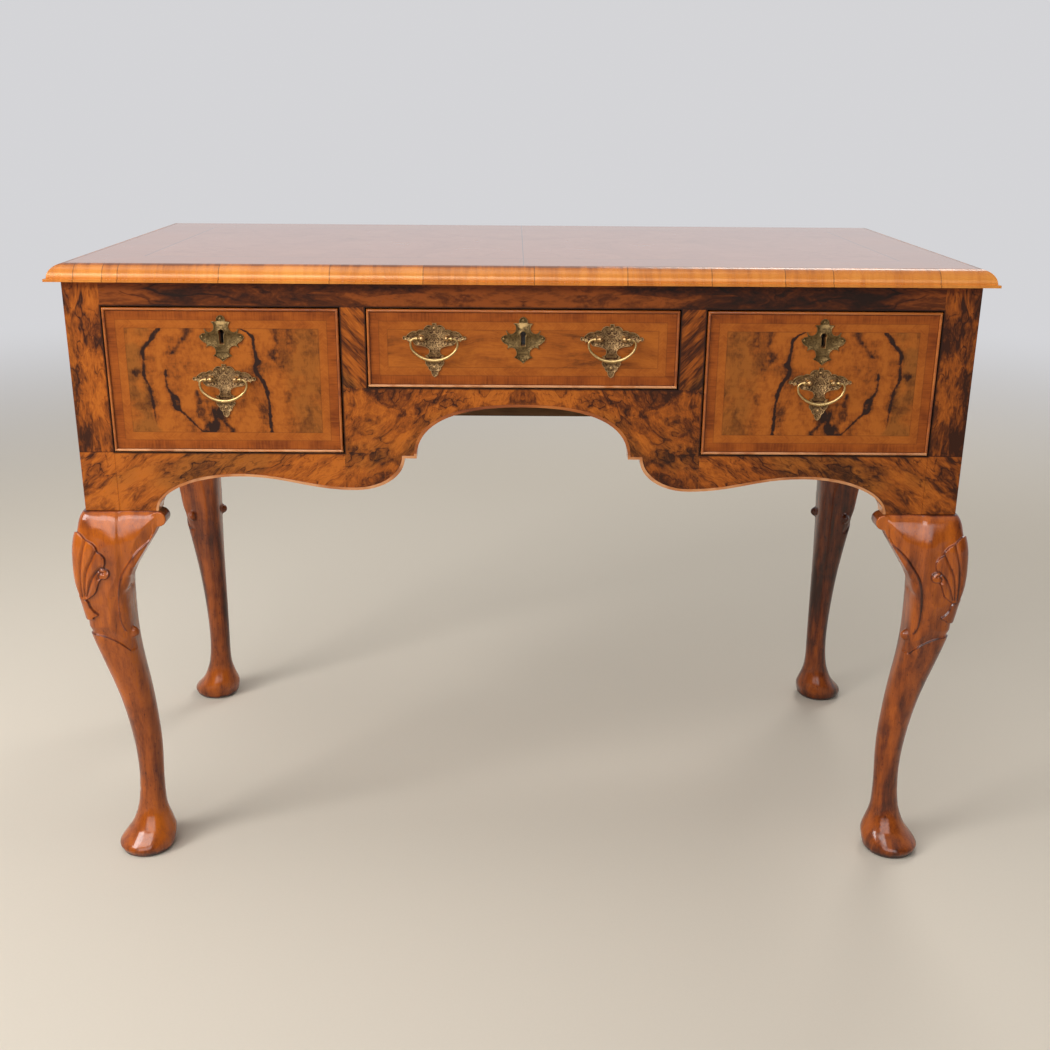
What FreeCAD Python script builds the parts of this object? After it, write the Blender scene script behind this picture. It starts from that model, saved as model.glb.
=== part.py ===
"""Walnut lowboy: three drawers over a shaped apron on four cabriole legs.

Millimetres. The origin is on the floor under the middle of the carcass,
+X to the right, +Y to the back and +Z up, so the drawers face -Y.
"""
import FreeCAD
import Part
import Sketcher

import os
import re
from math import cos, pi, sin

from FreeCAD import Placement, Rotation, Vector

X_AXIS = Vector(1, 0, 0)
Y_AXIS = Vector(0, 1, 0)
Z_AXIS = Vector(0, 0, 1)
ORIGIN = Vector(0, 0, 0)

# Driving dimensions, one sheet cell each
SIZES = {
    # Top
    "top_thickness": 19.0,
    "side_overhang": 15.0,
    "front_overhang": 14.0,
    "rear_overhang": 3.0,
    "moulding_width": 20.0,
    "moulding_lip": 3.0,
    # Carcass
    "carcass_width": 1036.0,
    "carcass_depth": 507.0,
    "carcass_height": 269.5,
    "post_side": 41.0,
    "rail_height": 28.0,
    "front_board": 22.0,
    "side_board": 20.0,
    "back_board": 12.0,
    "divider_width": 29.0,
    "centre_opening_width": 358.0,
    "centre_opening_share": 0.3414,
    "side_opening_share": 0.6308,
    # Apron
    "arch_half_span": 124.0,
    "arch_rise_share": 0.2301,
    "cusp_share": 0.2449,
    "cusp_step": 14.0,
    "lobe_share": 0.1002,
    "peak_share": 0.1596,
    "bead_width": 3.0,
    "bead_proud": 1.0,
    # Legs
    "leg_height": 473.5,
    "knee_projection": 21.0,
    "ankle_diameter": 31.5,
    "front_ankle_inset": 36.5,
    "rear_ankle_inset": 28.0,
    "foot_diameter": 71.0,
    "foot_height": 95.0,
    "front_foot_inset": 26.0,
    "rear_foot_inset": 15.0,
    "ear_reach": 87.0,
    "ear_drop": 101.5,
    "ear_lip": 13.5,
    "ear_proud": 4.0,
    "ear_setback": 2.5,
    "ear_toe_setback": 5.0,
    # Inner frame
    "runner_width": 22.0,
    "runner_height": 24.0,
    "guide_height": 22.0,
    "guide_clearance": 1.0,
    "stop_width": 24.0,
    "stop_depth": 24.7,
    "stop_height": 20.0,
    "stop_spacing": 120.0,
    "screw_radius": 2.2,
    "screw_head_radius": 4.2,
    "screw_head_height": 3.0,
    "screw_bite": 11.0,
    "screw_inset": 60.0,
    "fixing_clearance": 0.05,
    # Drawers
    "drawer_gap": 1.5,
    "slide_clearance": 0.3,
    "front_thickness": 20.0,
    "lining_thickness": 9.0,
    "back_drop": 8.0,
    "bottom_thickness": 7.0,
    "bottom_raise": 5.0,
    "cockbead_width": 3.0,
    "cockbead_depth": 9.0,
    "cockbead_proud": 2.5,
    "tail_length": 14.0,
    "tail_flare": 3.0,
    # Locks
    "lock_width": 62.0,
    "lock_height": 44.0,
    "lock_thickness": 11.0,
    "bolt_width": 22.0,
    "bolt_height": 19.0,
    "bolt_thickness": 4.0,
    "bolt_throw": 9.0,
    "bolt_clearance": 0.3,
    "keyhole_drop": 24.5,
    "keyhole_radius": 3.4,
    "keyhole_slot": 5.0,
    "keyhole_length": 13.0,
    # Brass
    "escutcheon_width": 50.5,
    "escutcheon_height": 53.0,
    "escutcheon_thickness": 1.2,
    "plate_width": 72.4,
    "plate_height": 62.0,
    "plate_thickness": 1.5,
    "handle_fall": 52.5,
    "centre_handle_share": 0.6413,
    "centre_handle_offset": 101.0,
    "post_spacing": 28.0,
    "post_radius": 2.0,
    "post_ball_radius": 3.2,
    "post_collar_radius": 3.6,
    "post_collar_height": 1.5,
    "post_tail": 7.0,
    "nut_width": 9.0,
    "nut_thickness": 3.0,
    "pivot_reach": 9.0,
    "pivot_clearance": 0.05,
    "bail_half_width": 26.8,
    "bail_drop": 25.0,
    "bail_elbow": 5.5,
    "bail_radius": 1.4,
    # Shared by every cut
    "overrun": 1.0,
}

# Places worked out from the sizes, one sheet formula each
PLACES = {
    "half_width": "carcass_width / 2",
    "front": "-carcass_depth / 2",
    "rear": "carcass_depth / 2",
    "carcass_top": "leg_height + carcass_height",
    "top_half_width": "half_width + side_overhang",
    "top_front": "front - front_overhang",
    "top_rear": "rear + rear_overhang",
    "rail_bottom": "carcass_top - rail_height",
    "post_inside": "half_width - post_side",
    "wall_inside": "half_width - side_board",
    "board_back": "front + front_board",
    "post_back": "front + post_side",
    "back_inside": "rear - back_board",
    "divider_inside": "centre_opening_width / 2",
    "divider_outside": "divider_inside + divider_width",
    "side_opening_width": "post_inside - divider_outside",
    "side_opening_centre": "(post_inside + divider_outside) / 2",
    "side_opening_height": "carcass_height * side_opening_share",
    "centre_opening_height": "carcass_height * centre_opening_share",
    "side_opening_bottom": "rail_bottom - side_opening_height",
    "centre_opening_bottom": "rail_bottom - centre_opening_height",
    "arch_rise": "carcass_height * arch_rise_share",
    "cusp_height": "carcass_height * cusp_share",
    "lobe_height": "carcass_height * lobe_share",
    "peak_height": "carcass_height * peak_share",
    "drawer_edge": "drawer_gap + cockbead_width",
    "drawer_top": "rail_bottom - drawer_edge",
    "front_back_face": "front + front_thickness",
    "drawer_rear": "back_inside - stop_depth - slide_clearance",
    "drawer_length": "drawer_rear - front",
    "guide_width": "drawer_edge - guide_clearance",
    "outer_runner_width": "side_board + runner_width",
    "keyhole_height": "drawer_top - keyhole_drop",
    "pivot_line": "front - pivot_reach",
    "pin_radius": "bail_radius",
    "pin_hole_radius": "pin_radius + pivot_clearance",
    "post_hole_radius": "post_radius + fixing_clearance",
    "screw_hole_radius": "screw_radius + fixing_clearance",
}

# Handle shares of the curves: a quarter round, the fuller centre arch and a soft wave
QUARTER_SHARE = 0.55
ARCH_SHARE = 0.66
WAVE_SHARE = 0.42

# The lobe stands over this share of the divider, the peak at this share of the way to the ear
LOBE_PLACE_SHARE = 0.6
PEAK_PLACE_SHARE = 0.58
SIDE_PEAK_SHARE = 0.4

# Leg sections: height from foot to carcass, outer and inner edge from knee to ankle,
# squareness of the outer and inner corners, squareness of the corners beside the knee blocks
LEG_SHARES = (
    (1.000, 0.420, 0.00, 5.5, 9.0),
    (0.980, 0.290, 0.00, 5.2, 9.0),
    (0.951, 0.185, 0.00, 4.9, 9.0),
    (0.911, 0.080, 0.05, 4.6, 8.5),
    (0.859, 0.020, 0.12, 4.4, 8.0),
    (0.800, 0.000, 0.20, 4.2, 7.0),
    (0.740, 0.033, 0.20, 3.9, 6.0),
    (0.674, 0.117, 0.10, 3.6, 4.8),
    (0.594, 0.220, 0.10, 3.2, 3.9),
    (0.515, 0.370, 0.22, 2.9, 3.2),
    (0.436, 0.525, 0.48, 2.5, 2.6),
    (0.357, 0.680, 0.74, 2.3, 2.3),
    (0.277, 0.805, 0.94, 2.1, 2.1),
    (0.198, 0.900, 1.08, 2.0, 2.0),
    (0.119, 0.972, 1.10, 2.0, 2.0),
    (0.040, 1.000, 1.00, 2.0, 2.0),
)
# Foot sections: height of the foot, centre and radius from ankle to foot
FOOT_SHARES = (
    (0.774, 0.12, 0.04),
    (0.640, 0.18, 0.11),
    (0.500, 0.24, 0.28),
    (0.380, 0.30, 0.50),
    (0.280, 0.45, 0.74),
    (0.205, 0.70, 0.90),
    (0.158, 0.88, 0.97),
    (0.118, 1.00, 1.00),
    (0.074, 1.00, 0.96),
    (0.032, 1.00, 0.86),
    (0.000, 1.00, 0.72),
)
SECTION_POINTS = 32
# Ear outline: the two handles between its lip and its toe, as shares of its width and drop
EAR_SHARES = ((0.63, 0.40), (0.0, 0.67))
EAR_TOE_SHARE = 0.07
# Where the ear starts inside the leg, as a share of the post
EAR_ROOT_SHARE = 0.93

# Back plate, right half: (end, middle of the arc) as shares of half width and height from the pivot
PLATE_TOP_SHARES = (0.066, 0.263)
PLATE_SHARES = (
    ((0.072, 0.212), None),
    ((0.344, 0.130), (0.230, 0.216)),
    ((0.552, 0.112), (0.450, 0.142)),
    ((0.890, 0.008), (0.765, 0.090)),
    ((0.895, -0.036), (1.000, -0.010)),
    ((0.818, -0.088), (0.862, -0.052)),
    ((0.690, -0.062), (0.752, -0.055)),
    ((0.540, -0.150), (0.640, -0.118)),
    ((0.250, -0.186), (0.395, -0.158)),
    ((0.310, -0.330), (0.165, -0.262)),
    ((0.300, -0.450), (0.262, -0.392)),
    ((0.205, -0.545), (0.272, -0.508)),
    ((0.110, -0.625), (0.172, -0.602)),
    ((0.000, -0.737), (0.072, -0.706)),
)
# Escutcheon, right half, in the same form from the keyhole
ESCUTCHEON_TOP_SHARES = (0.000, 0.372)
ESCUTCHEON_SHARES = (
    ((0.190, 0.240), (0.130, 0.345)),
    ((0.445, 0.230), None),
    ((0.500, 0.010), (0.325, 0.115)),
    ((0.740, 0.080), (0.640, 0.018)),
    ((0.785, 0.068), None),
    ((0.730, -0.020), (0.738, 0.024)),
    ((1.000, -0.095), (0.900, -0.035)),
    ((0.725, -0.222), (0.890, -0.180)),
    ((0.730, -0.322), (0.690, -0.270)),
    ((0.370, -0.318), (0.540, -0.285)),
    ((0.300, -0.425), (0.310, -0.370)),
    ((0.425, -0.494), (0.340, -0.470)),
    ((0.000, -0.628), (0.250, -0.535)),
)

# Bow of the bail: haunch radius as a share of its rise
BOW_HAUNCH_SHARE = 0.72
SIDE_TAILS = 4
CENTRE_TAILS = 2
# Socket shares of one dovetail pitch: where a tail starts and ends
TAIL_SHARES = (0.2, 0.8)

doc = FreeCAD.newDocument("Lowboy")
sheet = doc.addObject("Spreadsheet::Sheet", "Sizes")
for row, (name, number) in enumerate(SIZES.items(), start=1):
    sheet.set(f"A{row}", name)
    sheet.set(f"B{row}", str(number))
    sheet.setAlias(f"B{row}", name)
for row, (name, text) in enumerate(PLACES.items(), start=1):
    sheet.set(f"C{row}", name)
    sheet.set(f"D{row}", f"={text}")
    sheet.setAlias(f"D{row}", name)
doc.recompute()

nodes = {}


def size(alias):
    """The value of a sheet cell."""
    return float(sheet.get(alias))


def bind(thing, prop, formula):
    """Binds a property to a formula written in the sheet's aliases."""
    thing.setExpression(prop, re.sub(r"[a-z_]{3,}", r"Sizes.\g<0>", formula))


def place(thing, corner):
    """Binds the base point of a placement."""
    for axis, formula in zip("xyz", corner):
        bind(thing, f"Placement.Base.{axis}", formula)
    return thing


def node(label, thing):
    """Keeps a finished sub-part under the name of its file."""
    thing.Label = label
    nodes[label] = thing
    return thing


def board(corner, extent):
    """A plain board from its low corner and its extent along X, Y and Z."""
    box = doc.addObject("Part::Box", "Board")
    for side, formula in zip(("Length", "Width", "Height"), extent):
        bind(box, side, formula)
    return place(box, corner)


def between(low, high):
    """A plain board between two opposite corners."""
    return board(low, [f"({b}) - ({a})" for a, b in zip(low, high)])


def rod(start, radius, length, axis=Z_AXIS):
    """A round rod from its start along an axis."""
    cylinder = doc.addObject("Part::Cylinder", "Rod")
    bind(cylinder, "Radius", radius)
    bind(cylinder, "Height", length)
    cylinder.Placement = Placement(ORIGIN, Rotation(Z_AXIS, axis))
    return place(cylinder, start)


def ball(centre, radius):
    """A ball about a point."""
    sphere = doc.addObject("Part::Sphere", "Ball")
    bind(sphere, "Radius", radius)
    return place(sphere, centre)


def group(pieces):
    """Separate solids kept together."""
    compound = doc.addObject("Part::Compound", "Group")
    compound.Links = pieces
    return compound


def fuse(pieces):
    """One solid from several that overlap."""
    joined = doc.addObject("Part::MultiFuse", "Joined")
    joined.Shapes = pieces
    return joined


def cut(base, tools):
    """A piece with other shapes taken out of it."""
    result = doc.addObject("Part::Cut", "Cut")
    result.Base = base
    result.Tool = tools[0] if len(tools) == 1 else group(tools)
    return result


def mirrored(source, plane_x):
    """A copy on the other side of an upright plane across X."""
    copy = doc.addObject("Part::Mirroring", "Mirrored")
    copy.Source = source
    copy.Normal = X_AXIS
    bind(copy, "Base.x", plane_x)
    return copy


def feature(shape, base=ORIGIN):
    """A free-form piece, moved to its place once its shape is set."""
    thing = doc.addObject("Part::Feature", "Shaped")
    thing.Shape = shape
    thing.Placement = Placement(base, Rotation())
    return thing


def line(start, end):
    """A straight edge."""
    return Part.LineSegment(start, end).toShape()


def curve(*poles):
    """A curved edge drawn from its end points and handles."""
    bezier = Part.BezierCurve()
    bezier.setPoles(list(poles))
    return bezier.toShape()


def slab(edges, thickness):
    """A solid from closed edges, thickened along a vector."""
    return Part.Face(Part.Wire(edges)).extrude(thickness)


def upright(x, z):
    """A point of a front view."""
    return Vector(x, 0, z)


def quarter(start, end, share=QUARTER_SHARE):
    """A front-view quarter round that leaves its start upright and reaches its end level."""
    first = upright(start.x, start.z + share * (end.z - start.z))
    second = upright(end.x + share * (start.x - end.x), end.z)
    return curve(start, first, second, end)


def wave(start, end):
    """A front-view curve that is level at both ends."""
    reach = WAVE_SHARE * (end.x - start.x)
    return curve(start, upright(start.x + reach, start.z), upright(end.x - reach, end.z), end)


def lobe_place():
    """How far from the middle the apron's lobes hang."""
    return size("divider_inside") + LOBE_PLACE_SHARE * size("divider_width")


def apron_edges(inset):
    """Lower edge of the apron's right half, from the crown of the arch to the ear, raised by inset."""
    base = size("leg_height")
    cusp = base + size("cusp_height") + inset
    ear = size("half_width") - size("ear_reach") + inset
    span = size("arch_half_span") + inset
    peak = lobe_place() + PEAK_PLACE_SHARE * (ear - lobe_place())
    crown_point = upright(0, cusp + size("arch_rise"))
    inner_cusp = upright(span, cusp)
    outer_cusp = upright(span + size("cusp_step"), cusp)
    lobe_point = upright(lobe_place(), base + size("lobe_height") + inset)
    peak_point = upright(peak, base + size("peak_height") + inset)
    ear_point = upright(ear, base)
    return [
        quarter(inner_cusp, crown_point, ARCH_SHARE),
        line(inner_cusp, outer_cusp),
        quarter(outer_cusp, lobe_point),
        wave(lobe_point, peak_point),
        quarter(ear_point, peak_point),
    ]


def flipped(edges):
    """The same edges on the left-hand side."""
    return [edge.mirror(ORIGIN, X_AXIS) for edge in edges]


def run(edges):
    """Edges put in order round their outline."""
    return Part.sortEdges(edges)[0]


def chain(points):
    """Straight edges from point to point."""
    return [line(start, end) for start, end in zip(points, points[1:])]


def make_aprons():
    """Three apron boards under the drawers, and the bead along their lower edge."""
    base = Vector(0, size("front"), 0)
    bead = size("bead_width")
    floor = size("leg_height")
    board_edges = apron_edges(bead)
    shoulder = chain([
        upright(size("half_width") - size("ear_reach") + bead, floor),
        upright(size("post_inside"), floor),
        upright(size("post_inside"), size("side_opening_bottom")),
        upright(size("divider_outside"), size("side_opening_bottom")),
        upright(size("divider_outside"), size("centre_opening_bottom")),
        upright(0, size("centre_opening_bottom")),
    ])
    half = board_edges + shoulder
    whole = slab(run(half + flipped(half)), Y_AXIS * size("front_board"))
    width = size("post_inside") - size("divider_outside")
    spans = {
        "apron_left": (-size("post_inside"), width),
        "apron_centre": (-size("divider_outside"), 2 * size("divider_outside")),
        "apron_right": (size("divider_outside"), width),
    }
    for label, (start, length) in spans.items():
        block = Part.makeBox(length, size("front_board"), size("carcass_height"), upright(start, floor))
        node(label, feature(whole.common(block), base))

    lower_edges = apron_edges(0)
    crown = [upright(0, floor + size("cusp_height") + size("arch_rise") + lift) for lift in (0, bead)]
    ear = [upright(size("half_width") - size("ear_reach") + lift, floor) for lift in (0, bead)]
    strip_edges = lower_edges + board_edges + chain(crown) + chain(ear)
    depth = Y_AXIS * (size("front_board") + size("bead_proud"))
    strips = [slab(run(edges), depth) for edges in (flipped(strip_edges), strip_edges)]
    node("apron_beads", feature(Part.makeCompound(strips), base - Y_AXIS * size("bead_proud")))


def make_side_panels():
    """Side boards between the posts, with a shaped lower edge."""
    floor = size("leg_height")
    reach = size("rear") - size("ear_reach")
    drop_point = upright(0, floor + size("lobe_height"))
    peak_point = upright(SIDE_PEAK_SHARE * reach, floor + size("peak_height"))
    ear_point = upright(reach, floor)
    end = size("rear") - size("post_side")
    half = [wave(drop_point, peak_point), quarter(ear_point, peak_point)]
    half += chain([
        ear_point,
        upright(end, floor),
        upright(end, size("carcass_top")),
        upright(0, size("carcass_top")),
    ])
    for label, side in (("side_panel_left", -1), ("side_panel_right", 1)):
        panel = slab(run(half + flipped(half)), Y_AXIS * side * size("side_board"))
        thing = feature(panel)
        thing.Placement = Placement(X_AXIS * side * size("half_width"), Rotation(X_AXIS, Y_AXIS))
        node(label, thing)


def blend(start, end, share):
    """A value part of the way from start to end."""
    return start + share * (end - start)


def leg_section(height, low, high, corner_squareness, side_squareness):
    """A level section of a leg between two edges, round at a squareness of 2 and squarer above it."""
    centre, half = (low + high) / 2, (high - low) / 2
    points = []
    for step in range(SECTION_POINTS):
        turn = 2 * pi * step / SECTION_POINTS
        squareness = side_squareness if cos(turn) * sin(turn) < 0 else corner_squareness
        x, y = (abs(f(turn)) ** (2 / squareness) * (1 if f(turn) >= 0 else -1) for f in (cos, sin))
        points.append(Vector(centre + half * x, centre + half * y, height))
    spline = Part.BSplineCurve()
    spline.interpolate(points, PeriodicFlag=True)
    return Part.Wire(spline.toShape())


def knee_line(height_share, outer_share, ankle_inset):
    """Height and outer edge of a leg section."""
    height = blend(size("foot_height"), size("leg_height"), height_share)
    ankle_edge = ankle_inset - size("ankle_diameter") / 2
    return height, blend(-size("knee_projection"), ankle_edge, outer_share)


def leg_shape(ankle_inset, foot_inset):
    """Post, cabriole leg and pad foot in one piece, about the carcass corner, inwards along +X and +Y."""
    ankle_radius = size("ankle_diameter") / 2
    sections = []
    for height_share, outer_share, inner_share, *squareness in LEG_SHARES:
        height, outer = knee_line(height_share, outer_share, ankle_inset)
        inner = blend(size("post_side"), ankle_inset + ankle_radius, inner_share)
        sections.append(leg_section(height, outer, inner, *squareness))
    for height_share, inset_share, radius_share in FOOT_SHARES:
        centre = blend(ankle_inset, foot_inset, inset_share)
        radius = blend(ankle_radius, size("foot_diameter") / 2, radius_share)
        height = height_share * size("foot_height")
        sections.append(leg_section(height, centre - radius, centre + radius, 2, 2))
    limb = Part.makeLoft(sections[::-1], True)
    side = size("post_side")
    post = Part.makeBox(side, side, size("carcass_height"), Z_AXIS * size("leg_height"))
    root = EAR_ROOT_SHARE * side
    reach = size("knee_projection") + size("overrun")
    seat = Part.makeBox(
        size("ear_reach"),
        size("side_board") + reach,
        size("ear_drop"),
        Vector(root, -reach, size("leg_height") - size("ear_drop")),
    )
    seats = Part.makeCompound([seat, seat.mirror(ORIGIN, X_AXIS - Y_AXIS)])
    return limb.fuse(post).removeSplitter().cut(seats)


def ear_shape(ankle_inset):
    """Knee block seated beside a leg along +X: its outline, its bulge and its taper."""
    top = size("leg_height")
    toe_height = top - size("ear_drop")
    root = EAR_ROOT_SHARE * size("post_side")
    toe = blend(size("post_side"), size("ear_reach"), EAR_TOE_SHARE)
    lip = top - size("ear_lip")
    handles = [
        upright(blend(toe, size("ear_reach"), x_share), blend(lip, toe_height, z_share))
        for x_share, z_share in EAR_SHARES
    ]
    back = size("side_board")
    front_face = -size("knee_projection")
    edges = [curve(upright(size("ear_reach"), lip), *handles, upright(toe, toe_height))]
    edges += chain([
        upright(toe, toe_height),
        upright(root, toe_height),
        upright(root, top),
        upright(size("ear_reach"), top),
        upright(size("ear_reach"), lip),
    ])
    side_view = slab(run(edges), Y_AXIS * (back - front_face)).translated(Y_AXIS * front_face)

    bulge = []
    for height_share, outer_share, *_ in LEG_SHARES:
        height, outer = knee_line(height_share, outer_share, ankle_inset)
        if height > toe_height - size("ear_lip"):
            drop_share = (top - height) / size("ear_drop")
            setback = blend(size("ear_setback"), size("ear_toe_setback"), drop_share)
            bulge.append(Vector(root, outer + setback, height))
    spline = Part.BSplineCurve()
    spline.interpolate(bulge)
    rest = chain([bulge[-1], Vector(root, back, bulge[-1].z), Vector(root, back, top), bulge[0]])
    end_view = slab(run([spline.toShape(), *rest]), X_AXIS * (size("ear_reach") - root))

    corners = [
        Vector(root, front_face, toe_height),
        Vector(size("post_side"), front_face, toe_height),
        Vector(size("ear_reach"), -size("ear_proud"), toe_height),
        Vector(size("ear_reach"), back, toe_height),
        Vector(root, back, toe_height),
        Vector(root, front_face, toe_height),
    ]
    plan = slab(chain(corners), Z_AXIS * size("ear_drop"))
    return side_view.common(end_view).common(plan)


def make_legs():
    """Four legs, and the knee blocks glued beside them."""
    for end, y_side in (("front", -1), ("rear", 1)):
        ankle_inset = size(f"{end}_ankle_inset")
        leg = leg_shape(ankle_inset, size(f"{end}_foot_inset"))
        ear = ear_shape(ankle_inset)
        ears = [ear, ear.mirror(ORIGIN, X_AXIS - Y_AXIS)]
        blocks = []
        for hand, x_side in (("left", -1), ("right", 1)):
            corner = Vector(x_side * size("half_width"), size(end), 0)
            node(f"leg_{end}_{hand}", feature(turned(leg, x_side, y_side), corner))
            blocks += [turned(shape, x_side, y_side).translated(corner) for shape in ears]
        node(f"knee_blocks_{end}", feature(Part.makeCompound(blocks)))


def turned(shape, x_side, y_side):
    """A front-left corner piece mirrored to another corner."""
    if x_side > 0:
        shape = shape.mirror(ORIGIN, X_AXIS)
    if y_side > 0:
        shape = shape.mirror(ORIGIN, Y_AXIS)
    return shape


def moulding(start, end, inward, mitred_end):
    """A length of top moulding along an edge, mitred where it meets the next one."""
    along = (end - start).normalize()
    width, height, lip = size("moulding_width"), size("top_thickness"), size("moulding_lip")

    def profile(corner, slope):
        def point(depth, rise):
            return corner + inward * depth + along * depth * slope + Z_AXIS * rise

        rounding = curve(
            point(lip, lip),
            point(lip, blend(lip, height, QUARTER_SHARE)),
            point(blend(width, lip, QUARTER_SHARE), height),
            point(width, height),
        )
        straight = [point(width, height), point(width, 0), point(0, 0), point(0, lip), point(lip, lip)]
        return Part.Wire(run([rounding, *chain(straight)]))

    return Part.makeLoft([profile(start, 1), profile(end, -1 if mitred_end else 0)], True, True)


def make_top():
    """Top board with a cross-grain moulding on three edges, screwed down from inside."""
    width, front, rear, height = (size(a) for a in ("top_half_width", "top_front", "top_rear", "carcass_top"))
    corners = [Vector(side * width, front, height) for side in (-1, 1)]
    backs = [Vector(side * width, rear, height) for side in (-1, 1)]
    lengths = [
        moulding(corners[0], corners[1], Y_AXIS, True),
        moulding(corners[0], backs[0], X_AXIS, False),
        moulding(corners[1], backs[1], -X_AXIS, False),
    ]
    node("top_mouldings", feature(Part.makeCompound(lengths)))
    panel = between(
        ("moulding_width - top_half_width", "top_front + moulding_width", "carcass_top"),
        ("top_half_width - moulding_width", "top_rear", "carcass_top + top_thickness"),
    )
    holes = [rod((x, y, "carcass_top"), "screw_hole_radius", "screw_bite") for x, y in screw_places()]
    node("top_panel", cut(panel, holes))


def screw_places():
    """Where the top is screwed down: two places along each outer and centre kicker."""
    lines = ("wall_inside - outer_runner_width / 2", "divider_inside - runner_width / 2")
    rows = ("post_back + screw_inset", "-post_back - screw_inset")
    return [(f"{sign}({x})", y) for x in lines for sign in ("-", "") for y in rows]


def both(low, high):
    """The same board on the right and on the left of the middle."""
    left_low = (f"-({high[0]})", *low[1:])
    left_high = (f"-({low[0]})", *high[1:])
    return [between(left_low, left_high), between(low, high)]


def make_frame():
    """Rail, dividers, partitions, back, runners, guides, kickers, stops and screws."""
    mortises = []
    for x, _, _, _, _ in DRAWERS.values():
        half = "bolt_width / 2 + bolt_clearance"
        mortises.append(between(
            (f"{x} - ({half})", f"{BOLT_FRONT} - bolt_clearance", "rail_bottom - overrun"),
            (f"{x} + {half}", f"{BOLT_FRONT} + bolt_thickness + bolt_clearance", "rail_bottom + bolt_throw"),
        ))
    rail = between(("-post_inside", "front", "rail_bottom"), ("post_inside", "board_back", "carcass_top"))
    node("top_rail", cut(rail, mortises))

    dividers = both(
        ("divider_inside", "front", "centre_opening_bottom"), ("divider_outside", "board_back", "rail_bottom")
    )
    partitions = both(
        ("divider_inside", "board_back", "side_opening_bottom - runner_height"),
        ("divider_outside", "back_inside", "carcass_top"),
    )
    for hand, divider, partition in zip(("left", "right"), dividers, partitions):
        node(f"divider_{hand}", divider)
        node(f"partition_{hand}", partition)
    node("back_panel", between(
        ("-post_inside", "back_inside", "leg_height"), ("post_inside", "rear", "carcass_top")
    ))

    outer = ("wall_inside - outer_runner_width", "post_back"), ("wall_inside", "-post_back")
    inner = ("divider_outside", "board_back"), ("divider_outside + runner_width", "back_inside")
    centre = ("divider_inside - runner_width", "board_back"), ("divider_inside", "back_inside")
    bays = ((outer, "side_opening_bottom"), (inner, "side_opening_bottom"), (centre, "centre_opening_bottom"))
    runners, kickers = [], []
    for (low, high), level in bays:
        runners += both((*low, f"{level} - runner_height"), (*high, level))
        kickers += both((*low, "rail_bottom"), (*high, "carcass_top"))
    node("drawer_runners", group(runners))

    guide_spans = (
        ("post_inside - guide_width", "wall_inside"),
        ("divider_outside", "divider_outside + guide_width"),
        ("divider_inside - guide_width", "divider_inside"),
    )
    guides = []
    for (inside, outside), ((low, high), level) in zip(guide_spans, bays):
        guides += both((inside, low[1], level), (outside, high[1], f"{level} + guide_height"))
    node("drawer_guides", group(guides))

    screws, holes = [], []
    for x, y in screw_places():
        foot = (x, y, "rail_bottom")
        holes.append(fuse([
            rod(foot, "screw_hole_radius", "rail_height"),
            rod(foot, "screw_head_radius + fixing_clearance", "screw_head_height"),
        ]))
        screws.append(fuse([
            rod(foot, "screw_radius", "rail_height + screw_bite"),
            rod(foot, "screw_head_radius", "screw_head_height"),
        ]))
    node("top_screws", group(screws))
    node("drawer_kickers", cut(group(kickers), holes))

    stops = []
    for x, _, _, level, _ in DRAWERS.values():
        for sign in ("-", "+"):
            middle = f"{x} {sign} stop_spacing / 2"
            stops.append(between(
                (f"{middle} - stop_width / 2", "drawer_rear + slide_clearance", f"{level} + guide_height"),
                (f"{middle} + stop_width / 2", "back_inside", f"{level} + guide_height + stop_height"),
            ))
    node("drawer_stops", group(stops))


# Front face of the lock bolts, and the drawers: middle, width, height, floor, tails
BOLT_FRONT = "front_back_face - (lock_thickness + bolt_thickness) / 2"
DRAWERS = {
    "left_drawer": (
        "-side_opening_centre", "side_opening_width", "side_opening_height", "side_opening_bottom", SIDE_TAILS
    ),
    "right_drawer": (
        "side_opening_centre", "side_opening_width", "side_opening_height", "side_opening_bottom", SIDE_TAILS
    ),
    "centre_drawer": (
        "0", "centre_opening_width", "centre_opening_height", "centre_opening_bottom", CENTRE_TAILS
    ),
}


def value(formula):
    """The number that a formula gives, read from a spare cell."""
    sheet.set("F1", f"={formula}")
    sheet.recompute()
    return float(sheet.get("F1"))


def padded(points, thickness):
    """A board padded along X from an outline of (Y, Z) formulas, each point held by the sheet."""
    body = doc.addObject("PartDesign::Body", "Lining")
    plane = next(item for item in body.Origin.OriginFeatures if item.Role == "YZ_Plane")
    sketch = body.newObject("Sketcher::SketchObject", "Outline")
    sketch.AttachmentSupport = [(plane, "")]
    sketch.MapMode = "FlatFace"
    corners = [Vector(value(y), value(z), 0) for y, z in points]
    for start, end in zip(corners, corners[1:] + corners[:1]):
        sketch.addGeometry(Part.LineSegment(start, end), False)
    for index, (corner, formulas) in enumerate(zip(corners, points)):
        previous = (index - 1) % len(points)
        sketch.addConstraint(Sketcher.Constraint("Coincident", previous, 2, index, 1))
        for kind, number, formula in zip(("DistanceX", "DistanceY"), corner, formulas):
            constraint = sketch.addConstraint(Sketcher.Constraint(kind, index, 1, number))
            bind(sketch, f"Constraints[{constraint}]", formula)
    pad = body.newObject("PartDesign::Pad", "Thickness")
    pad.Profile = sketch
    bind(pad, "Length", thickness)
    return body


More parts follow.
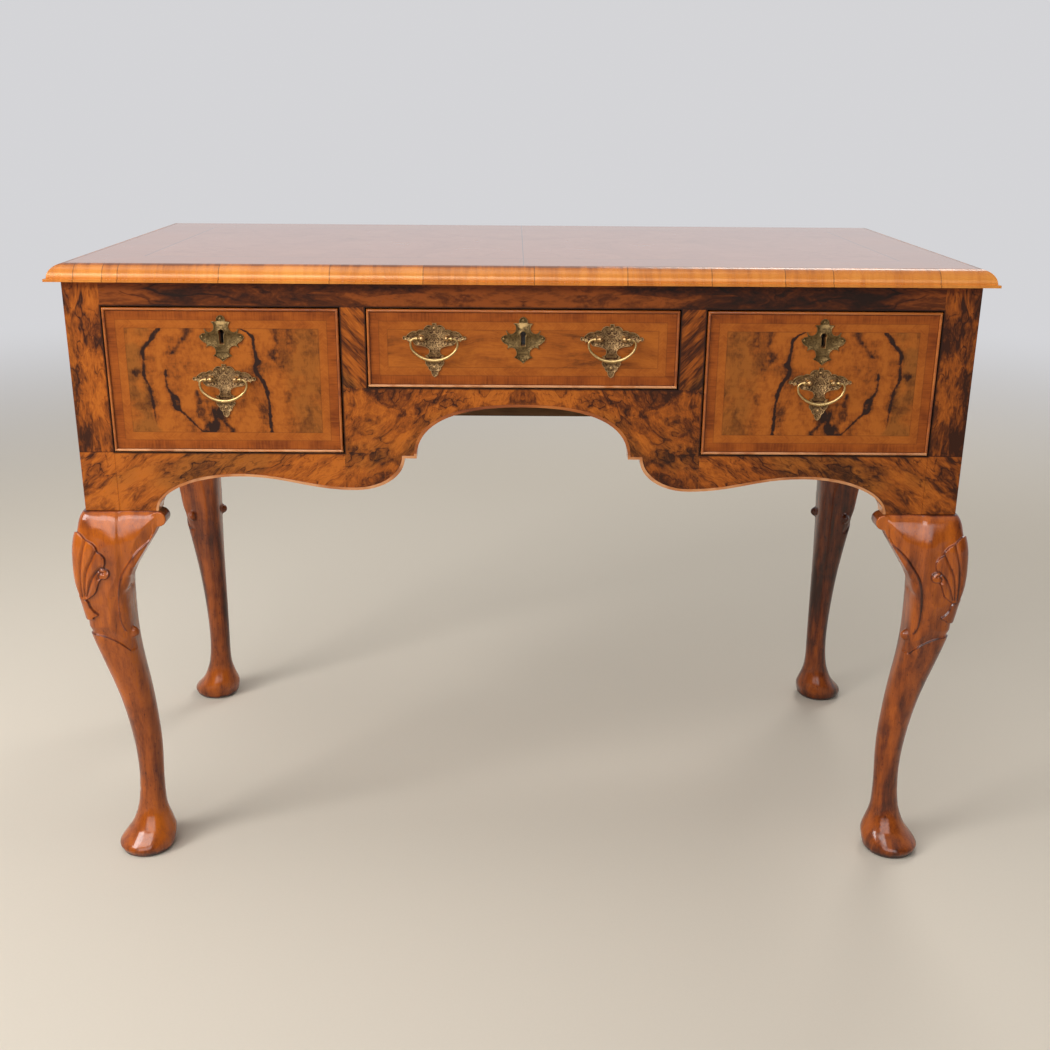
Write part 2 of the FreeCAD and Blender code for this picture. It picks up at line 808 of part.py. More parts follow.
def lining_outline(core_height, tails):
    """Drawer side seen from the right: a board whose front end is cut into dovetails."""
    board_height = f"({core_height} + drawer_edge - slide_clearance)"
    points = [
        ("front_thickness", "0"),
        ("drawer_length", "0"),
        ("drawer_length", board_height),
        ("front_thickness", board_height),
    ]
    floor = f"{board_height} - {core_height}"
    for tail in reversed(range(tails)):
        high, low = (
            f"{floor} + {core_height} * {(tail + share) / tails}" for share in reversed(TAIL_SHARES)
        )
        points += [
            ("front_thickness", high),
            ("front_thickness - tail_length", f"{high} + tail_flare"),
            ("front_thickness - tail_length", f"{low} - tail_flare"),
            ("front_thickness", low),
        ]
    return points


def keyhole(x):
    """The cut for a key: a round eye over a straight slot, stopping short of the back of the lock."""
    depth = "front_thickness - lock_thickness / 4 + overrun"
    eye = rod((x, "front - overrun", "keyhole_height"), "keyhole_radius", depth, Y_AXIS)
    slot = board(
        (f"{x} - keyhole_slot / 2", "front - overrun", "keyhole_height - keyhole_length"),
        ("keyhole_slot", depth, "keyhole_length"),
    )
    return fuse([eye, slot])


def make_drawer(name, x, width, height, level, tails):
    """One drawer: front, dovetailed sides, back, bottom, cockbeads, lock and bolt."""
    core_width = f"({width} - 2 * drawer_edge)"
    core_height = f"({height} - 2 * drawer_edge)"
    core_left = f"{x} - {core_width} / 2"
    core_right = f"{x} + {core_width} / 2"
    core_floor = f"{level} + drawer_edge"

    right_side = padded(lining_outline(core_height, tails), "lining_thickness")
    place(right_side, (f"{core_right} - lining_thickness", "front", f"{level} + slide_clearance"))
    sides = group([mirrored(right_side, x), right_side])
    node(f"{name}_sides", sides)

    lock_box = board(
        (f"{x} - lock_width / 2", "front_back_face - lock_thickness", "drawer_top - lock_height"),
        ("lock_width", "lock_thickness", "lock_height"),
    )
    channel = between(
        (
            f"{x} - bolt_width / 2 - bolt_clearance",
            f"{BOLT_FRONT} - bolt_clearance",
            "drawer_top - bolt_height - bolt_clearance",
        ),
        (
            f"{x} + bolt_width / 2 + bolt_clearance",
            f"{BOLT_FRONT} + bolt_thickness + bolt_clearance",
            "drawer_top + overrun",
        ),
    )
    node(f"{name}_lock", cut(lock_box, [channel, keyhole(x)]))
    node(f"{name}_lock_bolt", board(
        (f"{x} - bolt_width / 2", BOLT_FRONT, "drawer_top - bolt_height"),
        ("bolt_width", "bolt_thickness", "bolt_height"),
    ))

    blank = between((core_left, "front", core_floor), (core_right, "front_back_face", "drawer_top"))
    holes = [
        rod((post_x, "front - overrun", pivot), "post_hole_radius", "front_thickness + 2 * overrun", Y_AXIS)
        for handle_x, pivot in handles(name)
        for post_x in post_places(handle_x)
    ]
    node(f"{name}_front", cut(blank, [sides, lock_box, keyhole(x), *holes]))

    inside_left = f"{core_left} + lining_thickness"
    inside_right = f"{core_right} - lining_thickness"
    bottom_low = f"{level} + slide_clearance + bottom_raise"
    bottom_high = f"{bottom_low} + bottom_thickness"
    node(f"{name}_bottom", between(
        (inside_left, "front_back_face", bottom_low), (inside_right, "drawer_rear", bottom_high)
    ))
    node(f"{name}_back", between(
        (inside_left, "drawer_rear - lining_thickness", bottom_high),
        (inside_right, "drawer_rear", "drawer_top - back_drop"),
    ))

    bead_front = "front - cockbead_proud"
    bead_back = "front + cockbead_depth"
    bead_left = f"{core_left} - cockbead_width"
    bead_right = f"{core_right} + cockbead_width"
    strips = (
        (bead_left, bead_right, "drawer_top", "drawer_top + cockbead_width"),
        (bead_left, bead_right, f"{core_floor} - cockbead_width", core_floor),
        (bead_left, core_left, core_floor, "drawer_top"),
        (core_right, bead_right, core_floor, "drawer_top"),
    )
    node(f"{name}_cockbeads", group([
        between((start, bead_front, low), (end, bead_back, high)) for start, end, low, high in strips
    ]))


def handles(name):
    """Middle and pivot height of each bail handle on a drawer."""
    if name == "centre_drawer":
        pivot = "centre_opening_bottom + centre_opening_height * centre_handle_share"
        return [(f"{sign}centre_handle_offset", pivot) for sign in ("-", "")]
    return [(DRAWERS[name][0], "keyhole_height - handle_fall")]


def post_places(handle_x):
    """The two posts of a handle."""
    return [f"{handle_x} {sign} post_spacing / 2" for sign in ("-", "+")]


def plate_shape(top_shares, shares, half_width, height, thickness):
    """A thin plate whose right half is drawn in shares and mirrored."""
    def point(pair):
        return upright(pair[0] * half_width, pair[1] * height)

    start = point(top_shares)
    edges = [] if start.x == 0 else [line(upright(0, start.z), start)]
    for end_shares, middle_shares in shares:
        end = point(end_shares)
        if middle_shares is None:
            edges.append(line(start, end))
        else:
            edges.append(Part.Arc(start, point(middle_shares), end).toShape())
        start = end
    return slab(run(edges + flipped(edges)), -Y_AXIS * thickness)


def make_escutcheon(name, x):
    """Keyhole plate on the front of a drawer."""
    blank = feature(
        plate_shape(
            ESCUTCHEON_TOP_SHARES,
            ESCUTCHEON_SHARES,
            size("escutcheon_width") / 2,
            size("escutcheon_height"),
            size("escutcheon_thickness"),
        ),
        Vector(value(x), size("front"), size("keyhole_height")),
    )
    hole = keyhole(x)
    for part in hole.Shapes:
        bind(part, "Placement.Base.y", "front - escutcheon_thickness - overrun")
    node(f"{name}_escutcheon", cut(blank, [hole]))


def bail_shape():
    """A bail about its pivot line: two pins, two elbows and a bow of three arcs."""
    half, drop, elbow = size("bail_half_width"), size("bail_drop"), size("bail_elbow")
    pin_start = size("post_spacing") / 2 - size("post_ball_radius")
    rise = drop - elbow
    haunch = BOW_HAUNCH_SHARE * rise
    crown = ((half - haunch) ** 2 + rise ** 2 - haunch ** 2) / (2 * (rise - haunch))
    haunch_centre = upright(half - haunch, -elbow)
    crown_centre = upright(0, crown - drop)
    lean = (haunch_centre - crown_centre).normalize()
    corner = haunch_centre + lean * haunch
    slope = (lean + X_AXIS).normalize()
    pin_end = upright(half - elbow, 0)
    elbow_middle = upright(half - elbow, -elbow) + upright(1, 1).normalize() * elbow
    side = [
        line(upright(pin_start, 0), pin_end),
        Part.Arc(pin_end, elbow_middle, upright(half, -elbow)).toShape(),
        Part.Arc(upright(half, -elbow), haunch_centre + slope * haunch, corner).toShape(),
    ]
    left_corner = upright(-corner.x, corner.z)
    bow = Part.Arc(corner, upright(0, -drop), left_corner).toShape()
    path = Part.Wire(run(side + [bow] + flipped(side)))
    first = path.OrderedEdges[0]
    start = path.OrderedVertexes[0].Point
    heading = first.tangentAt(first.FirstParameter)
    ring = Part.Wire(Part.makeCircle(size("pin_radius"), start, heading))
    return path.makePipeShell([ring], True, True)


def make_handles(name):
    """Back plates, turned posts with their nuts, and bails of one drawer."""
    places = handles(name)
    marks = ("_left", "_right") if len(places) > 1 else ("",)
    fixings = []
    for mark, (handle_x, pivot) in zip(marks, places):
        blank = feature(
            plate_shape(
                PLATE_TOP_SHARES,
                PLATE_SHARES,
                size("plate_width") / 2,
                size("plate_height"),
                size("plate_thickness"),
            ),
            Vector(value(handle_x), size("front"), value(pivot)),
        )
        holes = []
        for post_x in post_places(handle_x):
            eye = rod((f"{post_x} - 2 * post_ball_radius", "pivot_line", pivot), "pin_hole_radius",
                      "4 * post_ball_radius", X_AXIS)
            shank = rod((post_x, "pivot_line", pivot), "post_radius",
                        "pivot_reach + front_thickness + post_tail", Y_AXIS)
            collar = rod((post_x, "front - plate_thickness - post_collar_height", pivot),
                         "post_collar_radius", "post_collar_height", Y_AXIS)
            head = ball((post_x, "pivot_line", pivot), "post_ball_radius")
            fixings.append(cut(fuse([shank, collar, head]), [eye]))
            bore = rod((post_x, "front - 2 * plate_thickness", pivot), "post_hole_radius",
                       "front_thickness + pivot_reach + post_tail", Y_AXIS)
            nut = board(
                (f"{post_x} - nut_width / 2", "front_back_face", f"{pivot} - nut_width / 2"),
                ("nut_width", "nut_thickness", "nut_width"),
            )
            fixings.append(cut(nut, [bore]))
            holes.append(bore)
        node(f"{name}_backplate{mark}", cut(blank, holes))
        bail = feature(bail_shape(), Vector(value(handle_x), size("pivot_line"), value(pivot)))
        node(f"{name}_bail{mark}", bail)
    node(f"{name}_posts", group(fixings))


make_top()
make_legs()
make_aprons()
make_side_panels()
make_frame()
for drawer_name, measures in DRAWERS.items():
    make_drawer(drawer_name, *measures)
    make_escutcheon(drawer_name, measures[0])
    make_handles(drawer_name)

doc.recompute()
for thing in doc.Objects:
    if {"Invalid", "Error"} & set(thing.State):
        raise RuntimeError(f"{thing.Label} failed: {thing.State}")
for label, thing in nodes.items():
    if thing.Shape.isNull() or not thing.Shape.isValid():
        raise RuntimeError(f"{label} has no valid shape")

os.makedirs("parts", exist_ok=True)
for label, thing in nodes.items():
    thing.Shape.exportStep(f"parts/{label}.step")
print(f"{len(nodes)} sub-parts written")
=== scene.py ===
"""Walnut lowboy: veneers, carved knees and brass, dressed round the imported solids."""
import logging
import math
from dataclasses import dataclass, field
from enum import Enum
from typing import Any, Callable, Iterable, Optional, Sequence, Union

import bmesh
import bpy
import numpy as np
from mathutils import Matrix, Vector
from mathutils.bvhtree import BVHTree


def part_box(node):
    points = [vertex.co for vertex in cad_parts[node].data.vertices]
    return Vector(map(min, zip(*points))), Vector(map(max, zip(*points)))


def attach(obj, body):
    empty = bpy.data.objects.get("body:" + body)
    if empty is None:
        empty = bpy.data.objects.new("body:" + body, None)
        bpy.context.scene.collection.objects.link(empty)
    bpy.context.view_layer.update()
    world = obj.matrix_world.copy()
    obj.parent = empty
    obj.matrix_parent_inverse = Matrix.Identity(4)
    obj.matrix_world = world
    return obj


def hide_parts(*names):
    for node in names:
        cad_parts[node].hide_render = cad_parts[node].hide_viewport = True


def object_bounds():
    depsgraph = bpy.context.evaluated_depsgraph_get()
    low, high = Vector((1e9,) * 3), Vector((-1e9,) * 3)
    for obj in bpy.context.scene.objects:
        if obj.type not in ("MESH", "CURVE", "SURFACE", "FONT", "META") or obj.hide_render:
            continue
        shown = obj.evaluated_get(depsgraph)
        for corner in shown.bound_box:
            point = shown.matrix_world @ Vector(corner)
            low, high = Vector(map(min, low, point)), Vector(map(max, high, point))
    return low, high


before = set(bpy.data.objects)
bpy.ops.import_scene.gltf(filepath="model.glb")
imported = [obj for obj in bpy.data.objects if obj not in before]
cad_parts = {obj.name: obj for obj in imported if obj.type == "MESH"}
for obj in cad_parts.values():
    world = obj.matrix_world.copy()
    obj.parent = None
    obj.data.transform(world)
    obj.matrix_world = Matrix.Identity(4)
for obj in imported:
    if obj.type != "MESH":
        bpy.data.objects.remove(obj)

LOG = logging.getLogger("lowboy")
MM = 0.001
BACK = Vector((0.0, 1.0, 0.0))
UP = Vector((0.0, 0.0, 1.0))
CAD_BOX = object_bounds()

Colour = tuple[float, float, float]
Point2 = tuple[float, float]
Point3 = tuple[float, float, float]
Sockets = dict[Union[str, int], Any]


class Half(Enum):
    """One half of the lowboy, with the sign of its axis."""

    @property
    def word(self) -> str:
        """The half's name as the solids use it."""
        return self.name.lower()


class Side(Half):
    """Left or right of the middle, along X."""

    LEFT = -1
    RIGHT = 1


class End(Half):
    """The front or the rear, along Y."""

    FRONT = -1
    REAR = 1


class Grain(Enum):
    """The axis that the fibres of a solid board follow."""

    X = 0
    Y = 1
    Z = 2


class Match(Enum):
    """The plane about which two veneer leaves are matched like an open book."""

    ACROSS = "x"
    ALONG = "y"


def math_node(operation: str, reflected: bool = False) -> Callable[..., "Wire"]:
    """An operator that adds one Math node.

    Args:
        operation: The Math node's operation.
        reflected: Whether the wire itself is the last term.

    Returns:
        The operator, a method of Wire.
    """

    def operator(self: "Wire", *others: "Value") -> "Wire":
        """Adds the node."""
        terms = (*others, self) if reflected else (self, *others)
        return self.surface.node("ShaderNodeMath", {"operation": operation}, dict(enumerate(terms)))

    return operator


class Wire:
    """A node socket that can be used in sums; a comparison gives one where it holds, else zero."""

    def __init__(self, surface: "Surface", socket: bpy.types.NodeSocket) -> None:
        """Keeps the socket and the surface that it belongs to."""
        self.surface = surface
        self.socket = socket

    __add__, __radd__ = math_node("ADD"), math_node("ADD", True)
    __sub__, __rsub__ = math_node("SUBTRACT"), math_node("SUBTRACT", True)
    __mul__, __rmul__ = math_node("MULTIPLY"), math_node("MULTIPLY", True)
    __truediv__, __rtruediv__ = math_node("DIVIDE"), math_node("DIVIDE", True)
    __pow__, __rpow__ = math_node("POWER"), math_node("POWER", True)
    __lt__, __gt__ = math_node("LESS_THAN"), math_node("GREATER_THAN")
    __abs__ = math_node("ABSOLUTE")
    least, most = math_node("MINIMUM"), math_node("MAXIMUM")
    floor, ceil, sine = math_node("FLOOR"), math_node("CEIL"), math_node("SINE")

    def step(self, low: float, high: float) -> "Wire":
        """A soft step.

        Args:
            low: Where the step starts.
            high: Where it ends; below low, it falls instead of rising.

        Returns:
            Zero before the step and one after it.
        """
        start, end, first, last = (low, high, 0.0, 1.0) if low < high else (high, low, 1.0, 0.0)
        return self.surface.node(
            "ShaderNodeMapRange",
            {"interpolation_type": "SMOOTHSTEP"},
            {"Value": self, "From Min": start, "From Max": end, "To Min": first, "To Max": last},
        )


Value = Union[float, Wire]


class Surface:
    """The node tree of one finish while it is laid out."""

    def __init__(self, name: str, tree: Optional[bpy.types.NodeTree] = None) -> None:
        """Makes an empty material, or empties another tree.

        Args:
            name: The material's name.
            tree: The other tree.
        """
        self.material = None
        if tree is None:
            self.material = bpy.data.materials.new(name)
            self.material.use_nodes = True
            tree = self.material.node_tree
        self.tree = tree
        self.tree.nodes.clear()

    def node(
        self,
        kind: str,
        settings: Optional[dict[str, Any]] = None,
        values: Optional[Sockets] = None,
        output: Union[str, int] = 0,
    ) -> Wire:
        """Adds any node.

        Args:
            kind: The node's type.
            settings: Its settings; stops are those of a colour ramp, points those of a curve.
            values: Values or links of its inputs.
            output: The output that is wanted; a node without outputs gives an input.

        Returns:
            That output.
        """
        made = self.tree.nodes.new(kind)
        for key, setting in (settings or {}).items():
            if key == "stops":
                self._set_stops(made.color_ramp, setting)
            elif key == "points":
                self._set_points(made.mapping, setting)
            else:
                setattr(made, key, setting)
        for key, value in (values or {}).items():
            if isinstance(value, Wire):
                self.tree.links.new(value.socket, made.inputs[key])
            elif isinstance(value, (int, float)):
                made.inputs[key].default_value = value
            else:
                wanted = len(made.inputs[key].default_value)
                made.inputs[key].default_value = (*value, 1.0)[:wanted]
        return Wire(self, (made.outputs or made.inputs)[output])

    @staticmethod
    def _set_stops(ramp: bpy.types.ColorRamp, stops: Sequence[tuple[float, Colour]]) -> None:
        """Puts the stops on a colour ramp."""
        while len(ramp.elements) < len(stops):
            ramp.elements.new(1.0)
        for element, (position, colour) in zip(ramp.elements, stops):
            element.position = position
            element.color = (*colour, 1.0)

    @staticmethod
    def _set_points(mapping: bpy.types.CurveMapping, points: Sequence[Point2]) -> None:
        """Puts the points on a curve, which runs from 0 to 1 both ways."""
        curve = mapping.curves[0]
        while len(curve.points) < len(points):
            curve.points.new(0.5, 0.5)
        for point, place in zip(curve.points, points):
            point.location = place
        mapping.update()

    def place(self) -> Wire:
        """Where a point lies in the lowboy's own frame, in metres."""
        return self.node("ShaderNodeTexCoord", output="Object")

    def axes(self, vector: Wire) -> tuple[Wire, Wire, Wire]:
        """The three parts of a vector."""
        split = self.node("ShaderNodeSeparateXYZ", None, {0: vector})
        outputs = split.socket.node.outputs
        return Wire(self, outputs[0]), Wire(self, outputs[1]), Wire(self, outputs[2])

    def vector(self, x: Value, y: Value, z: Value) -> Wire:
        """A vector from its three parts."""
        return self.node("ShaderNodeCombineXYZ", None, {0: x, 1: y, 2: z})

    def vector_sum(self, operation: str, *terms: Any, output: int = 0) -> Wire:
        """Adds one Vector Math node."""
        return self.node("ShaderNodeVectorMath", {"operation": operation}, dict(enumerate(terms)), output)

    def scaled(self, vector: Wire, x: float, y: float, z: float) -> Wire:
        """A vector stretched along each axis."""
        return self.vector_sum("MULTIPLY", vector, (x, y, z))

    def noise(self, vector: Wire, scale: float, detail: float, roughness: float = 0.5) -> Wire:
        """Cloudy noise about one half."""
        values = {"Vector": vector, "Scale": scale, "Detail": detail, "Roughness": roughness}
        return self.node("ShaderNodeTexNoise", None, values)

    def warped(self, vector: Wire, scale: float, reach: float) -> Wire:
        """A vector pushed about by noise.

        Args:
            vector: What is pushed.
            scale: How fine the noise is.
            reach: How far it pushes.

        Returns:
            The pushed vector.
        """
        values = {"Vector": vector, "Scale": scale, "Detail": 2.0}
        push = self.node("ShaderNodeTexNoise", None, values, "Color")
        centred = self.vector_sum("SUBTRACT", push, (0.5, 0.5, 0.5))
        return self.vector_sum("ADD", vector, self.vector_sum("MULTIPLY", centred, (reach, reach, reach)))

    def curve(self, value: Wire, points: Sequence[Point2]) -> Wire:
        """A value sent through a drawn curve."""
        return self.node("ShaderNodeFloatCurve", {"points": points}, {"Value": value})

    def ramp(self, value: Wire, stops: Sequence[tuple[float, Colour]]) -> Wire:
        """A colour picked along a ramp."""
        return self.node("ShaderNodeValToRGB", {"stops": stops}, {0: value})

    def mix(self, factor: Value, first: Any, second: Any) -> Wire:
        """Two colours mixed."""
        return self.node("ShaderNodeMix", {"data_type": "RGBA"}, {0: factor, 6: first, 7: second}, 2)

    def finish(
        self,
        colour: Wire,
        roughness: Value,
        height: Wire,
        relief: float,
        metallic: float = 0.0,
        fixed: Optional[Sockets] = None,
    ) -> bpy.types.Material:
        """Joins everything to one shader.

        Args:
            colour: Base colour.
            roughness: Roughness.
            height: What the bump follows.
            relief: How deep the bump looks, in metres.
            metallic: One for metal.
            fixed: Other sockets that are the same all over.

        Returns:
            The finished material.
        """
        bump = {"Strength": 1.0, "Distance": relief, "Height": height}
        values: Sockets = {
            "Base Color": colour,
            "Roughness": roughness,
            "Metallic": metallic,
            "Normal": self.node("ShaderNodeBump", None, bump),
            **(fixed or {}),
        }
        shader = self.node("ShaderNodeBsdfPrincipled", None, values)
        self.node("ShaderNodeOutputMaterial", None, {"Surface": shader})
        return self.material

    def seen(self) -> Wire:
        """One on what the camera sees by itself, in a mirror or through glass."""
        path = self.node("ShaderNodeLightPath", output="Is Camera Ray")
        outputs = path.socket.node.outputs
        mirrored = Wire(self, outputs["Is Glossy Ray"]) + Wire(self, outputs["Is Transmission Ray"])
        return (path + mirrored).least(1.0)


@dataclass(frozen=True)
class Tone:
    """The light, middle, dark and darkest colours of a wood."""

    light: Colour
    middle: Colour
    dark: Colour
    darkest: Colour

    def stops(self) -> list[tuple[float, Colour]]:
        """The tone as ramp stops, light first."""
        return [(0.0, self.light), (0.35, self.middle), (0.72, self.dark), (1.0, self.darkest)]


BURR = Tone((0.50, 0.134, 0.015), (0.335, 0.082, 0.010), (0.125, 0.030, 0.006), (0.040, 0.011, 0.004))
OLIVE = Tone((0.30, 0.096, 0.015), (0.190, 0.059, 0.010), (0.076, 0.024, 0.006), (0.026, 0.009, 0.004))
RAIL = Tone((0.26, 0.064, 0.011), (0.120, 0.029, 0.006), (0.042, 0.011, 0.004), (0.016, 0.006, 0.003))
LEG = Tone((0.52, 0.124, 0.010), (0.345, 0.074, 0.007), (0.135, 0.026, 0.005), (0.040, 0.010, 0.004))
BAND = Tone((0.41, 0.102, 0.012), (0.305, 0.070, 0.009), (0.180, 0.038, 0.006), (0.070, 0.016, 0.005))
FEATHER = Tone((0.44, 0.120, 0.015), (0.350, 0.088, 0.011), (0.230, 0.052, 0.008), (0.100, 0.024, 0.006))
PANEL = Tone((0.44, 0.122, 0.015), (0.335, 0.086, 0.011), (0.135, 0.036, 0.007), (0.026, 0.010, 0.006))
HONEY = Tone((0.76, 0.285, 0.046), (0.650, 0.208, 0.030), (0.420, 0.112, 0.015), (0.180, 0.044, 0.009))
TOP = Tone((0.50, 0.150, 0.032), (0.410, 0.115, 0.024), (0.280, 0.072, 0.015), (0.150, 0.040, 0.010))
BEAD = Tone((0.52, 0.165, 0.030), (0.390, 0.104, 0.018), (0.210, 0.047, 0.009), (0.070, 0.018, 0.006))
OAK = Tone((0.47, 0.285, 0.14), (0.37, 0.210, 0.096), (0.22, 0.118, 0.052), (0.10, 0.050, 0.023))
OLD_PINE = Tone((0.20, 0.105, 0.042), (0.145, 0.072, 0.028), (0.080, 0.038, 0.015), (0.035, 0.017, 0.008))

SHADOW = (0.016, 0.006, 0.003)
# Painted shade on the right of the front, where the light falls less, and the span over which it grows.
RIGHT_PAINTED_SHADE = 0.22
RIGHT_PAINTED_SPAN = (0.05, 0.22)
DUST_AND_SHADE_LAYER = "cut_depth"

POLISH: Sockets = {"Coat Weight": 0.15, "Coat Roughness": 0.14, "Specular IOR Level": 0.12}
LEG_POLISH: Sockets = {"Coat Weight": 0.75, "Coat Roughness": 0.13, "Specular IOR Level": 0.08}
TOP_POLISH: Sockets = {"Coat Weight": 0.9, "Coat Roughness": 0.10, "Specular IOR Level": 0.3}
EDGE_POLISH: Sockets = {
    "Coat Weight": 0.25,
    "Coat Roughness": 0.2,
    "Specular IOR Level": 0.65,
    "Specular Tint": (1.0, 0.74, 0.42),
}
DRY: Sockets = {"Specular IOR Level": 0.25}


def burr_figure(surface: Surface, vector: Wire, size: float) -> Wire:
    """The clouds, pale patches, outlines and eyes of burr walnut.

    Args:
        surface: The finish that is laid out.
        vector: Where the figure is looked up, in metres; the flames run along its Z.
        size: The size of a swirl, in metres.

    Returns:
        How dark the wood is, from 0 to about 1.
    """
    fine = 1.0 / size
    broad = surface.warped(vector, 0.5 * fine, 0.9 * size)
    pushed = surface.warped(broad, 2.4 * fine, 0.30 * size)
    clouds = surface.noise(broad, 0.7 * fine, 5.0, 0.6).step(0.42, 0.64)
    flames = surface.noise(surface.scaled(pushed, 1.0, 1.0, 0.6), 2.2 * fine, 5.0, 0.60).step(0.42, 0.66)
    level = surface.noise(pushed, 1.6 * fine, 2.5, 0.5)
    lit = level.step(0.46, 0.58)
    patches = surface.noise(vector, 0.9 * fine, 2.0).step(0.42, 0.60)
    edges = abs(level - 0.47).step(0.020, 0.003).most(abs(level - 0.59).step(0.014, 0.002))
    knots = surface.node("ShaderNodeTexVoronoi", None, {"Vector": pushed, "Scale": 4.5 * fine})
    eyes = knots.step(0.2, 0.06) * patches
    mottle = surface.noise(pushed, 5.0 * fine, 4.0, 0.66)
    pores = surface.noise(surface.scaled(pushed, 1.0, 1.0, 0.35), 26.0 * fine, 2.0, 0.7)
    fleck = surface.noise(surface.scaled(pushed, 1.0, 1.0, 0.5), 14.0 * fine, 3.0, 0.7)
    dark = 0.23 + clouds * 0.30 + flames * 0.30 + edges * (0.10 + 0.26 * patches) + eyes * 0.24 - lit * 0.32
    return dark + (mottle - 0.5) * 1.3 + (fleck - 0.5) * 0.90 + (pores - 0.5) * 0.5


def right_painted_shade(x: Wire) -> Wire:
    """Painted shade: how much darker the leaves on the right are, where the light falls less."""
    return x.step(*RIGHT_PAINTED_SPAN) * RIGHT_PAINTED_SHADE


def painted_gap_shadow(x: Wire, z: Wire) -> Wire:
    """Painted shadow: the dark edge round the drawers' openings, where the gap throws shade.

    Args:
        x: Distance to the right, in metres.
        z: Height.

    Returns:
        From 0 to 0.9.
    """
    nearest: Value = 1.0
    for name in ("left", "right", "centre"):
        low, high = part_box(f"{name}_drawer_cockbeads")
        beside = abs(x - (low[0] + high[0]) / 2.0) - (high[0] - low[0]) / 2.0
        over = abs(z - (low[2] + high[2]) / 2.0) - (high[2] - low[2]) / 2.0
        nearest = beside.most(over).least(nearest)
    return nearest.step(0.0040, 0.0018) * 0.9


def olive_share(surface: Surface, vector: Wire, size: float) -> Wire:
    """How far burr walnut turns from orange to olive.

    Args:
        surface: The finish that is laid out.
        vector: Where it is looked up, in metres.
        size: The size of a swirl, in metres.

    Returns:
        From 0 to about 0.8.
    """
    clouds = surface.noise(surface.warped(vector, 12.0, 0.04), 0.45 / size, 3.0, 0.55)
    return clouds.step(0.48, 0.66) * 0.8


def fibre(surface: Surface, vector: Wire, grain: Grain, scale: float, stretch: float) -> Wire:
    """Fine fibres along a grain.

    Args:
        surface: The finish that is laid out.
        vector: Where they are looked up.
        grain: Their direction.
        scale: How fine they are, per metre.
        stretch: Their frequency along the grain, as a share of that across it.

    Returns:
        Noise about one half.
    """
    shares = [1.0, 1.0, 1.0]
    shares[grain.value] = stretch
    return surface.noise(surface.scaled(vector, *shares), scale, 3.0, 0.6)


@dataclass(frozen=True)
class BurrVeneer:
    """Burr walnut laid over a board.

    Attributes:
        name: Its name.
        tone: Its colours.
        size: The size of a swirl, in metres.
        lean: How the figure is squeezed along X, Y and Z.
        slant: How far the figure leans over, per metre of height.
        start: Where on the log the leaf was cut.
        shade: How much darker it is than the tone.
        match: How its leaves are matched.
    """

    name: str
    tone: Tone = BURR
    size: float = 0.05
    lean: Point3 = (1.0, 1.0, 1.0)
    slant: float = 0.0
    start: Point3 = (0.0, 0.0, 0.0)
    shade: float = 0.0
    match: Match = Match.ACROSS

    def material(self) -> bpy.types.Material:
        """The finished veneer."""
        surface = Surface(self.name)
        x_place, y_place, z = surface.axes(surface.place())
        across = self.match is Match.ACROSS
        x = abs(x_place) if across else x_place
        y = y_place if across else abs(y_place)
        leant = surface.vector(x + z * self.slant, y, z)
        spot = surface.vector_sum("ADD", surface.scaled(leant, *self.lean), self.start)
        dark = burr_figure(surface, spot, self.size) + self.shade
        if across:
            # Painted shade on the right side.
            dark = dark + right_painted_shade(x_place)
        colour = surface.ramp(dark, self.tone.stops())
        if self.tone is BURR:
            share = olive_share(surface, spot, self.size)
            colour = surface.mix(share, colour, surface.ramp(dark, OLIVE.stops()))
        if across:
            # Painted shadow of the gap round the drawers' openings.
            colour = surface.mix(painted_gap_shadow(x_place, z), colour, SHADOW)
        return surface.finish(colour, 0.30 + dark * 0.10, dark, 0.00008, fixed=POLISH)


@dataclass(frozen=True)
class CornerVeneer:
    """Veneer of a corner post, and of the apron that it runs into.

    Attributes:
        name: Its name.
        height: Where the leaf of the post stops and that of the apron starts.
        size: The size of a swirl, in metres.
        lean: How the figure of the post is squeezed along X, Y and Z.
        slant: How far the figure of the apron leans over, per metre of height.
        starts: Where on the log the two leaves were cut, upper first.
        shade: How much darker the post is than the apron.
    """

    name: str
    height: float
    size: float = 0.05
    lean: Point3 = (1.5, 1.2, 0.62)
    slant: float = 1.0
    starts: tuple[Point3, Point3] = ((0.3, 1.1, 0.2), (0.05, 2.0, 0.45))
    shade: float = 0.23

    def material(self) -> bpy.types.Material:
        """The finished veneer."""
        surface = Surface(self.name)
        x, y, z = surface.axes(surface.place())
        post = z > self.height
        folded = surface.vector(abs(x), y, z)
        upper = surface.vector_sum("ADD", surface.scaled(folded, *self.lean), self.starts[0])
        leant = surface.vector(abs(x) + z * self.slant, y, z)
        lower = surface.vector_sum("ADD", leant, self.starts[1])
        spot = surface.node("ShaderNodeMix", {"data_type": "VECTOR"}, {0: post, 4: lower, 5: upper}, 1)
        # The last term is painted shade on the right side.
        dark = burr_figure(surface, spot, self.size) + post * self.shade + right_painted_shade(x)
        joint = abs(z - self.height).step(0.0007, 0.0002) * 0.5
        orange = surface.ramp(dark + joint, BURR.stops())
        olive = surface.ramp(dark, OLIVE.stops())
        colour = surface.mix(olive_share(surface, spot, self.size), orange, olive)
        # Painted shadow of the gap round the drawers' openings.
        colour = surface.mix(painted_gap_shadow(x, z), colour, SHADOW)
        return surface.finish(colour, 0.30 + dark * 0.10, dark, 0.00008, fixed=POLISH)


